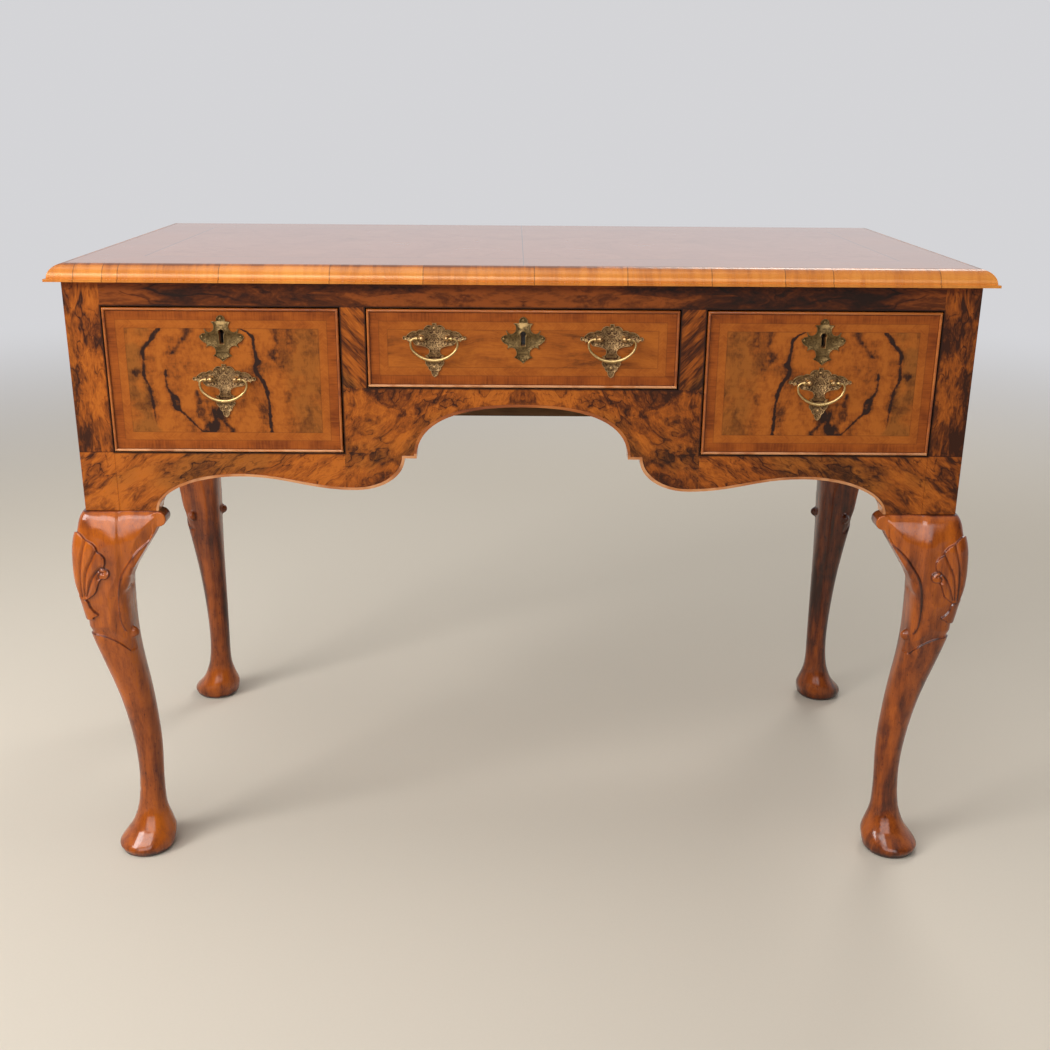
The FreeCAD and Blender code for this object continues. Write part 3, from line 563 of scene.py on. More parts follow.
@dataclass(frozen=True)
class SolidWood:
    """A wood with straight grain.

    Attributes:
        name: Its name.
        tone: Its colours.
        grain: The direction of its fibres.
        rough: Its roughness.
        coat: The sockets of its polish.
        figure: How fine its streaks are, per metre.
    """

    name: str
    tone: Tone
    grain: Grain
    rough: float = 0.34
    coat: Sockets = field(default_factory=dict)
    figure: float = 60.0

    def darkness(self, surface: Surface, place: Wire) -> Wire:
        """How dark the wood is.

        Args:
            surface: The finish that is laid out.
            place: Where it is looked up.

        Returns:
            About 0 to 1.
        """
        pushed = surface.warped(place, 9.0, 0.02)
        streaks = fibre(surface, pushed, self.grain, self.figure, 0.12)
        pores = fibre(surface, place, self.grain, 1100.0, 0.03)
        clouds = surface.noise(place, 11.0, 2.0)
        return streaks.step(0.25, 0.8) * 0.6 + clouds.step(0.3, 0.75) * 0.25 + (pores - 0.5) * 0.5

    def material(self) -> bpy.types.Material:
        """The finished wood."""
        surface = Surface(self.name)
        dark = self.darkness(surface, surface.place())
        colour = surface.ramp(dark, self.tone.stops())
        return surface.finish(colour, self.rough + dark * 0.08, dark, 0.00012, fixed=self.coat)


@dataclass(frozen=True)
class BeadWood(SolidWood):
    """Walnut of a bead, paler along its foot: a painted highlight, broken up by rubbed wear.

    Attributes:
        foot: The height under which the highlight is painted.
        rubbed: The colour of that painted highlight.
    """

    foot: float = 0.0
    rubbed: Colour = (0.74, 0.36, 0.16)

    def material(self) -> bpy.types.Material:
        """The finished bead."""
        surface = Surface(self.name)
        place = surface.place()
        dark = self.darkness(surface, place)
        wear = surface.noise(place, 28.0, 3.0, 0.6).step(0.36, 0.60)
        low = surface.axes(place)[2] < self.foot
        # Painted highlight along the bead's foot, broken up by rubbed wear.
        colour = surface.mix(low * (0.15 + 0.60 * wear), surface.ramp(dark, self.tone.stops()), self.rubbed)
        return surface.finish(colour, self.rough + dark * 0.08, dark, 0.0001, fixed=self.coat)


@dataclass(frozen=True)
class LegWalnut(SolidWood):
    """Polished leg wood, darkened in the cuts of the carving by dust and painted shade, with painted shadow
    under its joint with the post and painted shade beside the rolled ends of the blocks.

    Attributes:
        sole_shadow: The heights between which the painted shadow at the base of the foot ends.
        foot: The heights between which the paler part of the foot starts, and ends; it is rubbed wear and a
            painted highlight.
        knee: The heights between which the paler knee starts.
        right: The X between which the painted shade of the right legs starts.
        rear: The Y between which the painted shade of the rear legs starts.
    """

    sole_shadow: Point2 = (0.009, 0.002)
    foot: tuple[Point2, Point2] = ((0.010, 0.020), (0.062, 0.036))
    knee: Point2 = (0.20, 0.40)
    right: Point2 = (-0.1, 0.3)
    rear: Point2 = (-0.1, 0.1)

    def material(self) -> bpy.types.Material:
        """The finished leg wood."""
        surface = Surface(self.name)
        place = surface.place()
        x, y, height = surface.axes(place)
        # The layer holds dust and painted shade in the cuts, painted shadow under the joint and painted
        # shade beside the rolled ends.
        cut = surface.node("ShaderNodeAttribute", {"attribute_name": DUST_AND_SHADE_LAYER}, output="Fac")
        wear = surface.noise(place, 45.0, 3.0, 0.6).step(0.45, 0.75)
        specks = surface.noise(surface.scaled(place, 1.0, 1.0, 0.5), 320.0, 2.0, 0.7).step(0.60, 0.72)
        # The paler foot is partly rubbed wear and partly a painted highlight.
        foot = height.step(*self.foot[0]) * height.step(*self.foot[1])
        # The cut term darkens the cuts with dust and painted shade.
        dark = self.darkness(surface, place) + cut * 0.5 + wear * 0.14 + specks * 0.22
        # The first term is painted shadow at the base of the foot.
        dark = dark + height.step(*self.sole_shadow) * 0.5 - height.step(*self.knee) * 0.24 - foot * 0.20 + 0.04
        # Painted shade on the right legs and on the rear legs, which the light reaches less.
        dark = dark + x.step(*self.right) * 0.12 + y.step(*self.rear) * 0.20
        colour = surface.ramp(dark, self.tone.stops())
        return surface.finish(colour, self.rough + dark * 0.08, dark, 0.0001, fixed=self.coat)


@dataclass(frozen=True)
class Face:
    """Places on the face of a drawer while its veneer is laid out, in millimetres.

    Attributes:
        surface: The finish that is laid out.
        u, w: Distance across and up from the middle.
        inset: Distance in from the edge.
        upright: One nearer to an upright edge than to a level one.
    """

    surface: Surface
    u: Wire
    w: Wire
    inset: Wire
    upright: Wire

    def noise(self, layer: float, scale: float, detail: float, roughness: float = 0.5) -> Wire:
        """Cloudy noise about one half, of its own on each layer."""
        return self.surface.noise(self.surface.vector(self.u, layer, self.w), scale, detail, roughness)

    def ragged(self, scale: float, reach: float) -> tuple[Wire, Wire]:
        """Pushes the places about.

        Args:
            scale: How fine the noise is, per millimetre.
            reach: How far it pushes.

        Returns:
            The pushed distances across and up.
        """
        spot = self.surface.vector(self.u, 0.0, self.w)
        values = {"Vector": spot, "Scale": scale, "Detail": 4.0, "Roughness": 0.6}
        push = self.surface.node("ShaderNodeTexNoise", None, values, "Color")
        push_u, push_w, _ = self.surface.axes(push)
        return self.u + (push_u - 0.5) * reach, self.w + (push_w - 0.5) * reach


@dataclass(frozen=True)
class Stroke:
    """A dark mark in a veneer leaf, from its top down.

    Attributes:
        weight: How dark it is.
        soft: How far its edge spreads.
        points: Height, distance across and half width at each point, in millimetres.
    """

    weight: float
    soft: float
    points: tuple[Point3, ...]

    @staticmethod
    def along(
        surface: Surface, w: Wire, line: Sequence[Point2], rise: float = 161.0, reach: float = 260.0
    ) -> Wire:
        """A value that changes with height.

        Args:
            surface: The finish that is laid out.
            w: The height, in millimetres.
            line: Height and value at each point, from the top down.
            rise: The span of the heights.
            reach: The span of the values.

        Returns:
            The value.
        """
        points = [(0.5 + up / rise, 0.5 + value / reach) for up, value in reversed(line)]
        return (surface.curve(w / rise + 0.5, points) - 0.5) * reach

    def mark(self, surface: Surface, u: Wire, w: Wire, thick: Wire) -> Wire:
        """How much the mark darkens a place.

        Args:
            surface: The finish that is laid out.
            u: Distance across from the middle, in millimetres.
            w: Distance up from the middle.
            thick: Noise that makes it swell.

        Returns:
            From 0 to its weight.
        """
        middle = self.along(surface, w, [(up, across) for up, across, _ in self.points])
        half = self.along(surface, w, [(up, half) for up, _, half in self.points], reach=40.0)
        gap = abs(u - middle) - half * (0.5 + thick)
        stain = gap.step(8.0 + self.soft, 0.0) * 0.28 * half.step(-1.0, 0.5)
        return (gap.step(1.5 * self.soft, -0.9 * self.soft) + stain) * self.weight * (0.55 + 0.9 * thick)


OLIVE_EDGE = (
    (80, -55), (62, -66), (49, -79), (36, -90), (7, -92), (-16, -85), (-46, -83), (-53, -79), (-80, -68),
)
STROKES = (
    Stroke(0.75, 1.3, (
        (66, -63, 2.2), (57, -74, 2.6), (49, -79, 2.2), (43, -85, 1.9), (36, -90, 2.2), (27, -90.6, 1.0),
        (16, -91.3, 0.8), (7, -92, 1.2), (-7, -87, 0.9), (-26, -84, 0.7), (-38, -83, 0.6), (-46, -83, 0.1),
        (-54, -82, -2.0),
    )),
    Stroke(0.90, 1.1, (
        (66, 13, 1.2), (61, 20, 1.3), (54, 32, 2.3), (50, 35, 1.6), (42, 35.6, 0.8), (33, 37, 0.9),
        (26, 38, 1.5), (22.7, 39.5, 2.6), (16.4, 36, 1.1), (11, 36.5, 1.4), (6, 40, 2.0), (1, 44, 2.2),
        (-5, 46, 1.3), (-12, 48, 2.0), (-18, 48.6, 1.0), (-27, 50, 0.8), (-37, 50, 1.0), (-62, 51, 1.4),
    )),
    Stroke(0.45, 2.2, (
        (64, 57, 4.8), (53, 60, 2.6), (44, 62, 1.6), (38, 59, 2.2), (32, 56, 3.5), (26, 58, 1.9),
        (19, 62, -2.0),
    )),
    Stroke(0.22, 5.0, ((64, 70, 9.0), (44, 70, 8.5), (25, 66, 4.5), (14, 64, -4.0))),
    Stroke(0.72, 1.4, (
        (14, -67, -1.0), (9, -67, 0.4), (0, -67, 0.5), (-8, -66, 0.7), (-14, -63, 1.5), (-21, -58, 4.4),
        (-27, -57, 4.4), (-33, -56, 2.6), (-37, -51, 1.6), (-42, -46, 1.0), (-54, -35, 0.6),
        (-62, -26, 1.2),
    )),
    Stroke(0.55, 2.2, (
        (-9, -33, -1.5), (-14, -33, 1.3), (-22, -32, 3.0), (-32, -30, 3.9), (-42, -29, 5.4),
        (-48, -24, 2.6), (-53, -20, 6.4), (-62, -23, 7.2),
    )),
    Stroke(0.5, 1.8, (
        (-28, -17, -1.0), (-32, -16, 1.0), (-46, -14, 2.0), (-51, -13, 4.2), (-56, -14, 3.2),
        (-62, -15, -2.0),
    )),
    Stroke(0.6, 1.8, (
        (-32, -6, 3.0), (-37, -6, 4.8), (-42, -4, 5.4), (-47, -3, 2.2), (-56, 4, 2.0), (-62, 5, 2.3),
    )),
    Stroke(0.42, 3.0, (
        (64, -40, 8.5), (58, -40, 6.0), (52, -43, 4.2), (47, -46, 3.0), (41, -50, 2.0), (36, -55, 2.2),
        (30, -60, -2.0),
    )),
    Stroke(0.4, 2.0, ((16, -101, -1.0), (13, -101, 2.0), (10, -101, 4.6), (7, -101, 2.0), (4, -101, -1.0))),
    Stroke(0.32, 2.6, ((-25, 41, -1.0), (-29, 41, 1.6), (-37, 43, 3.8), (-44, 44, 3.2), (-52, 45, -2.0))),
    Stroke(0.25, 2.6, ((-10, 72, -2.0), (-15, 72, 3.2), (-20, 71, 2.6), (-27, 70, -2.0))),
)


@dataclass(frozen=True)
class DrawerVeneer:
    """The face of a drawer: cross band, feather band and a matched panel.

    Attributes:
        name: Its name.
        centre: The middle of the front, X and Z in metres.
        half: Half the front's width and height, in millimetres.
        front: The Y of its face.
        side: The side whose leaf it is; the right one is the left one turned over.
        figured: Whether the panel has the dark cracks of a side drawer.
        cross: Width of the cross band.
        feather: Width of one strip of the feather band.
        line: Half the width of the dark line between two leaves.
        seam: The colour of that line.
        eye: The middle of the round eye in a figured panel.
        eye_size: Half its width and height.
    """

    name: str
    centre: Point2
    half: Point2
    front: float
    side: Side
    figured: bool
    cross: float = 10.5
    feather: float = 4.8
    line: float = 0.45
    seam: Colour = (0.05, 0.014, 0.005)
    eye: Point2 = (-31.0, 14.0)
    eye_size: Point2 = (13.6, 8.4)

    def material(self) -> bpy.types.Material:
        """The finished drawer face."""
        surface = Surface(self.name)
        place = surface.place()
        x, y, z = surface.axes(place)
        u = (x - self.centre[0]) * (-self.side.value / MM)
        w = (z - self.centre[1]) * (1.0 / MM)
        from_side = self.half[0] - abs(u)
        from_end = self.half[1] - abs(w)
        face = Face(surface, u, w, from_side.least(from_end), from_side < from_end)
        smear = self._smear(face)
        dark = (self._panel(face) if self.figured else self._plain_panel(surface, place)) + smear
        colour = surface.ramp(dark, PANEL.stops())
        if self.figured:
            colour = surface.mix(self._olive(face), colour, surface.ramp(dark, OLIVE.stops()))
        inner = self.cross + 2.0 * self.feather
        strips = face.inset.step(inner + 0.05, inner - 0.05)
        colour = surface.mix(strips, colour, self._feather(face, smear))
        colour = surface.mix(face.inset < self.cross, colour, self._cross(face, smear))
        lines = abs(face.inset - self.cross).least(abs(face.inset - inner))
        edge = lines.step(self.line + 0.4, self.line * 0.3) * 0.30 + face.inset.step(1.2, 0.2) * 0.7
        colour = surface.mix(edge.least(0.9), colour, self.seam)
        plain = SolidWood(self.name, OAK, Grain.X).darkness(surface, place)
        back = surface.ramp(plain, OAK.stops())
        colour = surface.mix(y.step(self.front + 0.002, self.front + 0.0023), colour, back)
        return surface.finish(colour, 0.30 + dark * 0.08, dark, 0.00006, fixed=POLISH)

    @staticmethod
    def _smear(face: Face) -> Wire:
        """How much old polish darkens the face: it is rubbed along, and darker near the edge."""
        rubbed = face.surface.noise(face.surface.vector(face.u * 0.16, 11.0, face.w), 0.11, 4.0, 0.62)
        return (rubbed - 0.5) * 0.9 + face.inset.step(22.0, 2.0) * 0.12 - 0.03

    @staticmethod
    def _cross(face: Face, smear: Wire) -> Wire:
        """The cross band, with its grain square to the edge.

        Args:
            face: Where it is looked up.
            smear: How much old polish darkens it.

        Returns:
            Its colour.
        """
        surface, upright = face.surface, face.upright
        level = 1.0 - upright
        along = face.u * level + face.w * upright
        across = face.w * level + face.u * upright
        spot = surface.vector(along, across * 0.06, upright * 40.0)
        streaks = surface.noise(spot, 0.5, 3.0, 0.6)
        leaves = surface.noise(surface.vector(along, upright * 90.0, 0.0), 0.028, 1.0)
        clouds = face.noise(3.0, 0.05, 3.0, 0.6).step(0.35, 0.65)
        dark = (streaks - 0.5) * 0.9 + leaves.step(0.35, 0.65) * 0.22 + clouds * 0.22 + 0.06
        return surface.ramp(dark + smear, BAND.stops())

    def _feather(self, face: Face, smear: Wire) -> Wire:
        """The feather band, two strips with leaning grain.

        Args:
            face: Where it is looked up.
            smear: How much old polish darkens it.

        Returns:
            Its colour.
        """
        surface = face.surface
        turn = 1.0 - 2.0 * (face.inset > self.cross + self.feather)
        spot = surface.vector(face.u + face.w * turn, (face.u - face.w * turn) * 0.08, turn * 9.0)
        streaks = surface.noise(spot, 0.6, 3.0, 0.6)
        clouds = face.noise(5.0, 0.05, 3.0, 0.6).step(0.35, 0.65)
        return surface.ramp((streaks - 0.5) * 0.9 + clouds * 0.25 + 0.10 + smear, FEATHER.stops())

    @staticmethod
    def _plain_panel(surface: Surface, place: Wire) -> Wire:
        """How dark a plainly grained panel is.

        Args:
            surface: The finish that is laid out.
            place: Where it is looked up, in metres.

        Returns:
            About 0 to 1.
        """
        pushed = surface.warped(place, 14.0, 0.03)
        streaks = surface.noise(surface.scaled(pushed, 0.16, 1.0, 1.0), 95.0, 3.0, 0.6)
        fine = surface.noise(surface.scaled(pushed, 0.05, 1.0, 1.0), 700.0, 2.0, 0.6)
        clouds = surface.noise(surface.scaled(place, 0.5, 1.0, 1.0), 22.0, 2.0)
        mottle = surface.noise(pushed, 120.0, 4.0, 0.65)
        dark = streaks.step(0.36, 0.70) * 0.34 + clouds.step(0.35, 0.7) * 0.26 + (fine - 0.5) * 0.6
        return dark + (mottle - 0.5) * 0.6 + 0.02

    def _panel(self, face: Face) -> Wire:
        """How dark the panel of a side drawer is.

        Args:
            face: Where it is looked up.

        Returns:
            About 0 to 1.
        """
        surface = face.surface
        bent_u, bent_w = face.ragged(0.03, 12.0)
        bent = surface.vector(bent_u, 0.0, bent_w)
        clouds = surface.noise(surface.scaled(bent, 1.0, 1.0, 0.6), 0.045, 4.0, 0.6)
        grain = surface.noise(surface.scaled(bent, 1.0, 1.0, 0.3), 0.5, 3.0, 0.6)
        mottle = surface.noise(bent, 0.16, 4.0, 0.65)
        across = (face.u - self.eye[0]) / self.eye_size[0]
        up = (face.w - self.eye[1]) / self.eye_size[1]
        far = (across ** 2.0 + up ** 2.0) ** 0.5
        eye = far.step(1.15, 0.85) * 0.12 + abs(far - 1.0).step(0.18, 0.02) * 0.10
        fleck = surface.noise(surface.scaled(bent, 1.0, 1.0, 0.5), 0.35, 3.0, 0.7)
        dark = clouds.step(0.40, 0.64) * 0.42 + (mottle - 0.5) * 1.1 + (grain - 0.5) * 0.6 + eye + 0.04
        dark = dark + (fleck - 0.5) * 0.45
        edge_u, edge_w = face.ragged(0.20, 4.0)
        thick = face.noise(4.0, 0.12, 2.0)
        for stroke in STROKES:
            dark = dark + stroke.mark(surface, edge_u, edge_w, thick)
        return dark

    @staticmethod
    def _olive(face: Face) -> Wire:
        """How far the panel turns from orange to olive.

        Args:
            face: Where it is looked up.

        Returns:
            From 0 to 1.
        """
        edge_u, edge_w = face.ragged(0.10, 8.0)
        left = Stroke.along(face.surface, edge_w, OLIVE_EDGE)
        clouds = face.noise(7.0, 0.035, 3.0, 0.55)
        beyond = (left - edge_u).step(-1.0, 3.0) * 0.95
        right = (edge_u + edge_w * 0.15).step(60.0, 82.0) * 0.75
        return (beyond + right) * clouds.step(0.30, 0.55) + clouds.step(0.60, 0.75) * 0.3


@dataclass(frozen=True)
class TopVeneer:
    """The top: a matched field inside a cross band.

    Attributes:
        name: Its name.
        half: Half its width, in metres.
        front, rear: The Y of its long edges.
        height: The height of its face.
        band: Width of the cross band.
        seam: The colour of the joints and of the dark edge.
    """

    name: str
    half: float
    front: float
    rear: float
    height: float
    band: float = 0.070
    seam: Colour = (0.03, 0.010, 0.005)

    def material(self) -> bpy.types.Material:
        """The finished top."""
        surface = Surface(self.name)
        place = surface.place()
        x, y, z = surface.axes(place)
        from_side = self.half - abs(x)
        from_end = (y - self.front).least(self.rear - y)
        inset = from_side.least(from_end)
        upright = from_side < from_end
        leaf = surface.vector(abs(x) * 0.75, y * 0.6, z + 3.0)
        field_dark = burr_figure(surface, leaf, 0.085) * 0.28 + 0.24
        along = x * (1.0 - upright) + y * upright
        across = y * (1.0 - upright) + x * upright
        streaks = surface.noise(surface.vector(along, across * 0.07, upright), 420.0, 3.0, 0.6)
        leaves = surface.noise(surface.vector(along, upright * 7.0, 0.0), 9.0, 1.0).step(0.35, 0.65)
        band_dark = streaks * 0.28 + leaves * 0.12 + 0.16
        colour = surface.mix(
            inset < self.band, surface.ramp(field_dark, TOP.stops()), surface.ramp(band_dark, TOP.stops())
        )
        joint = abs(inset - self.band).step(0.0012, 0.0004) * 0.7 + abs(x).step(0.0009, 0.0003) * 0.7
        edge = inset.step(0.0011, 0.0004) * (z > self.height - 0.0005)
        colour = surface.mix((joint + edge).least(0.9), colour, self.seam)
        return surface.finish(colour, 0.26 + field_dark * 0.08, field_dark, 0.00005, fixed=TOP_POLISH)


@dataclass(frozen=True)
class MouldingWalnut:
    """Cross-grain moulding laid in short lengths.

    Attributes:
        name: Its name.
        half: Half the width of the panel inside it, in metres.
        front: The Y of that panel's front edge.
        joints: Where the lengths meet along the front.
        length: How long the lengths are along the sides.
        swell: The height of the middle of its round; painted shade darkens the round above it, which leaves
            its middle as the lit band.
        arris: The heights between which its dark upper edge starts.
        seam: The colour of its joints.
    """

    name: str
    half: float
    front: float
    joints: tuple[float, ...] = (
        -0.500, -0.468, -0.451, -0.339, -0.216, -0.112, 0.012, 0.116, 0.210, 0.292, 0.346, 0.466,
    )
    length: float = 0.105
    swell: float = 0.7535
    arris: Point2 = (0.7598, 0.7612)
    seam: Colour = (0.07, 0.02, 0.006)

    def material(self) -> bpy.types.Material:
        """The finished moulding."""
        surface = Surface(self.name)
        x, y, z = surface.axes(surface.place())
        facing = (self.front - y) > (abs(x) - self.half)
        row = y / self.length
        tally = row.floor() + 40.0
        near = (row - row.floor()).least(row.ceil() - row) * self.length
        count: Value = 0.0
        gap: Value = 1.0
        for joint in self.joints:
            count = (x > joint) + count
            gap = abs(x - joint).least(gap)
        number = count * facing + tally * (1.0 - facing)
        gap = gap * facing + near * (1.0 - facing)
        tint = surface.node("ShaderNodeTexWhiteNoise", {"noise_dimensions": "1D"}, {"W": number})
        along = x * facing + y * (1.0 - facing)
        spot = surface.vector(along + tint * 3.0, y * (1.0 - facing * 0.8) + number, z * 0.5)
        pushed = surface.warped(spot, 22.0, 0.018)
        streaks = surface.noise(surface.scaled(pushed, 1.0, 0.3, 0.3), 130.0, 3.0, 0.6)
        fine = surface.noise(surface.scaled(spot, 1.0, 0.1, 0.1), 1100.0, 2.0, 0.6)
        clouds = surface.noise(pushed, 30.0, 2.0).step(0.35, 0.7)
        # Painted shade on the upper part of the round, and the dark joint along its upper edge.
        rise = (z - self.swell).step(0.001, 0.007) + z.step(*self.arris) * 1.6
        dark = streaks.step(0.35, 0.75) * 0.28 + clouds * 0.22 + (fine - 0.5) * 0.2
        dark = dark + tint * 0.26 + rise * 0.22
        joints = gap.step(0.0007, 0.0002) * 0.75
        colour = surface.mix(joints, surface.ramp(dark, HONEY.stops()), self.seam)
        return surface.finish(colour, 0.24 + dark * 0.08, dark, 0.00008, fixed=EDGE_POLISH)


@dataclass(frozen=True)
class AntiqueBrass:
    """Brass that has gone dull, with engraved leaves where it is a plate.

    Attributes:
        name: Its name.
        bright: The colour where it is rubbed.
        dull: The colour where it has tarnished.
        centre: The middle of the engraving, X and Z in metres.
        engraved: How deep the engraving is, from 0 to 1.
        rough: Its roughness.
        rim: The Y of the raised rim of a plate.
    """

    name: str
    bright: Colour = (0.47, 0.292, 0.124)
    dull: Colour = (0.064, 0.030, 0.017)
    centre: Point2 = (0.0, 0.0)
    engraved: float = 0.0
    rough: float = 0.30
    rim: float = 0.0

    def material(self) -> bpy.types.Material:
        """The finished brass."""
        surface = Surface(self.name)
        place = surface.place()
        x, y, z = surface.axes(place)
        tarnish = surface.noise(place, 190.0, 4.0, 0.6).step(0.32, 0.72)
        spots = surface.noise(place, 900.0, 2.0, 0.6).step(0.55, 0.75)
        dark = tarnish * 0.45 + spots * 0.2
        height = 0.5 - spots * 0.2
        if self.engraved:
            half = surface.vector(abs(x - self.centre[0]), 0.0, z - self.centre[1])
            scroll = surface.noise(surface.warped(half, 160.0, 0.006), 95.0, 1.0)
            strokes = (0.5 + 0.5 * (scroll * 95.0).sine()) ** 2.0
            sunk = y.step(self.rim + 0.00008, self.rim + 0.0002)
            dark = dark * (0.3 + 0.4 * sunk) + (0.30 + strokes * 0.7 * self.engraved) * sunk
            height = height - strokes * self.engraved * sunk
        colour = surface.mix(dark.least(1.0), self.bright, self.dull)
        return surface.finish(colour, self.rough + dark * 0.25, height, 0.0003, metallic=1.0)


@dataclass(frozen=True)
class Iron:
    """Old iron of locks and screws.

    Attributes:
        name: Its name.
        bare: Its colour.
        rusty: The colour of its rust.
    """

    name: str
    bare: Colour = (0.11, 0.105, 0.10)
    rusty: Colour = (0.12, 0.055, 0.028)

    def material(self) -> bpy.types.Material:
        """The finished iron."""
        surface = Surface(self.name)
        place = surface.place()
        rust = surface.noise(place, 160.0, 4.0, 0.65).step(0.42, 0.68)
        pits = surface.noise(place, 1300.0, 2.0)
        colour = surface.mix(rust * 0.6, self.bare, self.rusty)
        return surface.finish(colour, 0.42 + rust * 0.25, pits, 0.0001, metallic=0.85)


@dataclass(frozen=True)
class PaleGround:
    """The plain pale floor.

    Attributes:
        wall: The colour of the wall that it runs into.
        name: Its name.
        colour: Its colour in the light that it throws back.
        pale: Its colour where it is seen.
        grit: The colour of its grit.
        far: How far off the wall starts, and takes over.
    """

    wall: Colour
    name: str = "pale_ground"
    colour: Colour = (0.60, 0.53, 0.43)
    pale: Colour = (0.74, 0.665, 0.555)
    grit: Colour = (0.52, 0.46, 0.37)
    far: Point2 = (1.4, 4.5)

    def material(self) -> bpy.types.Material:
        """The finished floor."""
        surface = Surface(self.name)
        place = surface.place()
        grit = surface.noise(place, 300.0, 2.0)
        tint = surface.mix(surface.seen(), self.colour, self.pale)
        colour = surface.mix(grit * 0.10, tint, self.grit)
        ground = surface.node("ShaderNodeBsdfPrincipled", None, {"Base Color": colour, "Roughness": 0.9})
        wall = surface.node("ShaderNodeEmission", None, {"Color": self.wall, "Strength": 1.0})
        far = surface.vector_sum("LENGTH", place, output=1).step(*self.far)
        shader = surface.node("ShaderNodeMixShader", None, {0: far * surface.seen(), 1: ground, 2: wall})
        surface.node("ShaderNodeOutputMaterial", None, {"Surface": shader})
        return surface.material


def dress(material: bpy.types.Material, *names: str) -> None:
    """Puts a finish on solids.

    Args:
        material: The finish.
        names: The solids' nodes.
    """
    for name in names:
        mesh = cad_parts[name].data
        mesh.materials.clear()
        mesh.materials.append(material)
        LOG.info("%s: %s", name, material.name)


def mesh_of(name: str) -> bmesh.types.BMesh:
    """A welded copy of a solid's mesh."""
    shape = bmesh.new()
    shape.from_mesh(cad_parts[name].data)
    bmesh.ops.remove_doubles(shape, verts=shape.verts, dist=1e-6)
    return shape


def add_piece(
    name: str,
    shape: Union[bmesh.types.BMesh, bpy.types.Mesh],
    material: bpy.types.Material,
    body: str,
    nodes: Sequence[str] = (),
) -> bpy.types.Object:
    """Puts a new piece on a body.

    Args:
        name: The piece's name.
        shape: Its mesh; a bmesh is used up.
        material: Its finish.
        body: The body that it rides on.
        nodes: The solids that it stands for.

    Returns:
        The piece.
    """
    mesh = shape
    if isinstance(shape, bmesh.types.BMesh):
        bmesh.ops.recalc_face_normals(shape, faces=shape.faces)
        mesh = bpy.data.meshes.new(name)
        shape.to_mesh(mesh)
        shape.free()
    mesh.materials.clear()
    mesh.materials.append(material)
    piece = bpy.data.objects.new(name, mesh)
    bpy.context.scene.collection.objects.link(piece)
    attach(piece, body)
    if nodes:
        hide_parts(*nodes)
    LOG.info("%s: %d faces, on %s", name, len(mesh.polygons), body)
    return piece


def points_of(mesh: bpy.types.Mesh) -> tuple[np.ndarray, np.ndarray]:
    """The points of a mesh and their normals, one a row."""
    places = np.empty(len(mesh.vertices) * 3)
    normals = np.empty(len(mesh.vertices) * 3)
    mesh.vertices.foreach_get("co", places)
    mesh.vertices.foreach_get("normal", normals)
    return places.reshape(-1, 3), normals.reshape(-1, 3)


def smooth_all(mesh: bpy.types.Mesh) -> None:
    """Shades a whole mesh smoothly."""
    mesh.polygons.foreach_set("use_smooth", [True] * len(mesh.polygons))


def worked(mesh: bpy.types.Mesh, kind: str, **settings: Any) -> bpy.types.Mesh:
    """A mesh after one modifier.

    Args:
        mesh: What is worked; it is used up.
        kind: The modifier's type.
        settings: Its settings.

    Returns:
        The new mesh.
    """
    bench = bpy.data.objects.new("bench", mesh)
    bpy.context.scene.collection.objects.link(bench)
    tool = bench.modifiers.new("tool", kind)
    for key, setting in settings.items():
        setattr(tool, key, setting)
    graph = bpy.context.evaluated_depsgraph_get()
    result = bpy.data.meshes.new_from_object(bench.evaluated_get(graph), depsgraph=graph)
    bpy.data.objects.remove(bench)
    bpy.data.meshes.remove(mesh)
    return result


def rings(shape: bmesh.types.BMesh, rows: Sequence[Sequence[Vector]], closed: bool = False) -> None:
    """Joins rows of points, each a closed ring, into a skin.

    Args:
        shape: What the skin is added to.
        rows: The rings in order, all with as many points.
        closed: Whether the last ring joins the first; otherwise both ends get a face.
    """
    made = [[shape.verts.new(point) for point in row] for row in rows]
    follow = made[1:] + made[:1] if closed else made[1:]
    for row, after in zip(made, follow):
        for index in range(len(row)):
            ahead = (index + 1) % len(row)
            shape.faces.new((row[index], row[ahead], after[ahead], after[index]))
    if not closed:
        shape.faces.new(made[0])
        shape.faces.new(made[-1])


def round_angles(sides: int) -> list[float]:
    """Angles spread evenly round a circle."""
    return [2.0 * math.pi * side / sides for side in range(sides)]


def tube(
    shape: bmesh.types.BMesh,
    path: Sequence[Vector],
    radii: Sequence[float],
    sides: int,
    closed: bool = False,
) -> None:
    """A round bar along a path that lies square to the Y axis.

    Args:
        shape: What the bar is added to.
        path: Its middle line.
        radii: Its radius at each point.
        sides: How many faces go round it.
        closed: Whether its end joins its start.
    """
    rows = []
    last = len(path) - 1
    angles = round_angles(sides)
    for index, (point, radius) in enumerate(zip(path, radii)):
        before, after = max(index - 1, 0), min(index + 1, last)
        if closed:
            before, after = index - 1, (index + 1) % len(path)
        out = (path[after] - path[before]).normalized().cross(BACK)
        rows.append([point + radius * (math.cos(a) * out + math.sin(a) * BACK) for a in angles])
    rings(shape, rows, closed)


def turned(shape: bmesh.types.BMesh, foot: Vector, profile: Sequence[Point2], sides: int = 16) -> None:
    """A turned stud that stands out towards the front.

    Args:
        shape: What the stud is added to.
        foot: The middle of its foot.
        profile: Radius and height of each ring, from the foot up.
        sides: How many faces go round it.
    """
    rows = []
    angles = round_angles(sides)
    for radius, height in profile:
        rows.append([foot + Vector((radius * math.cos(a), -height, radius * math.sin(a))) for a in angles])
    rings(shape, rows)


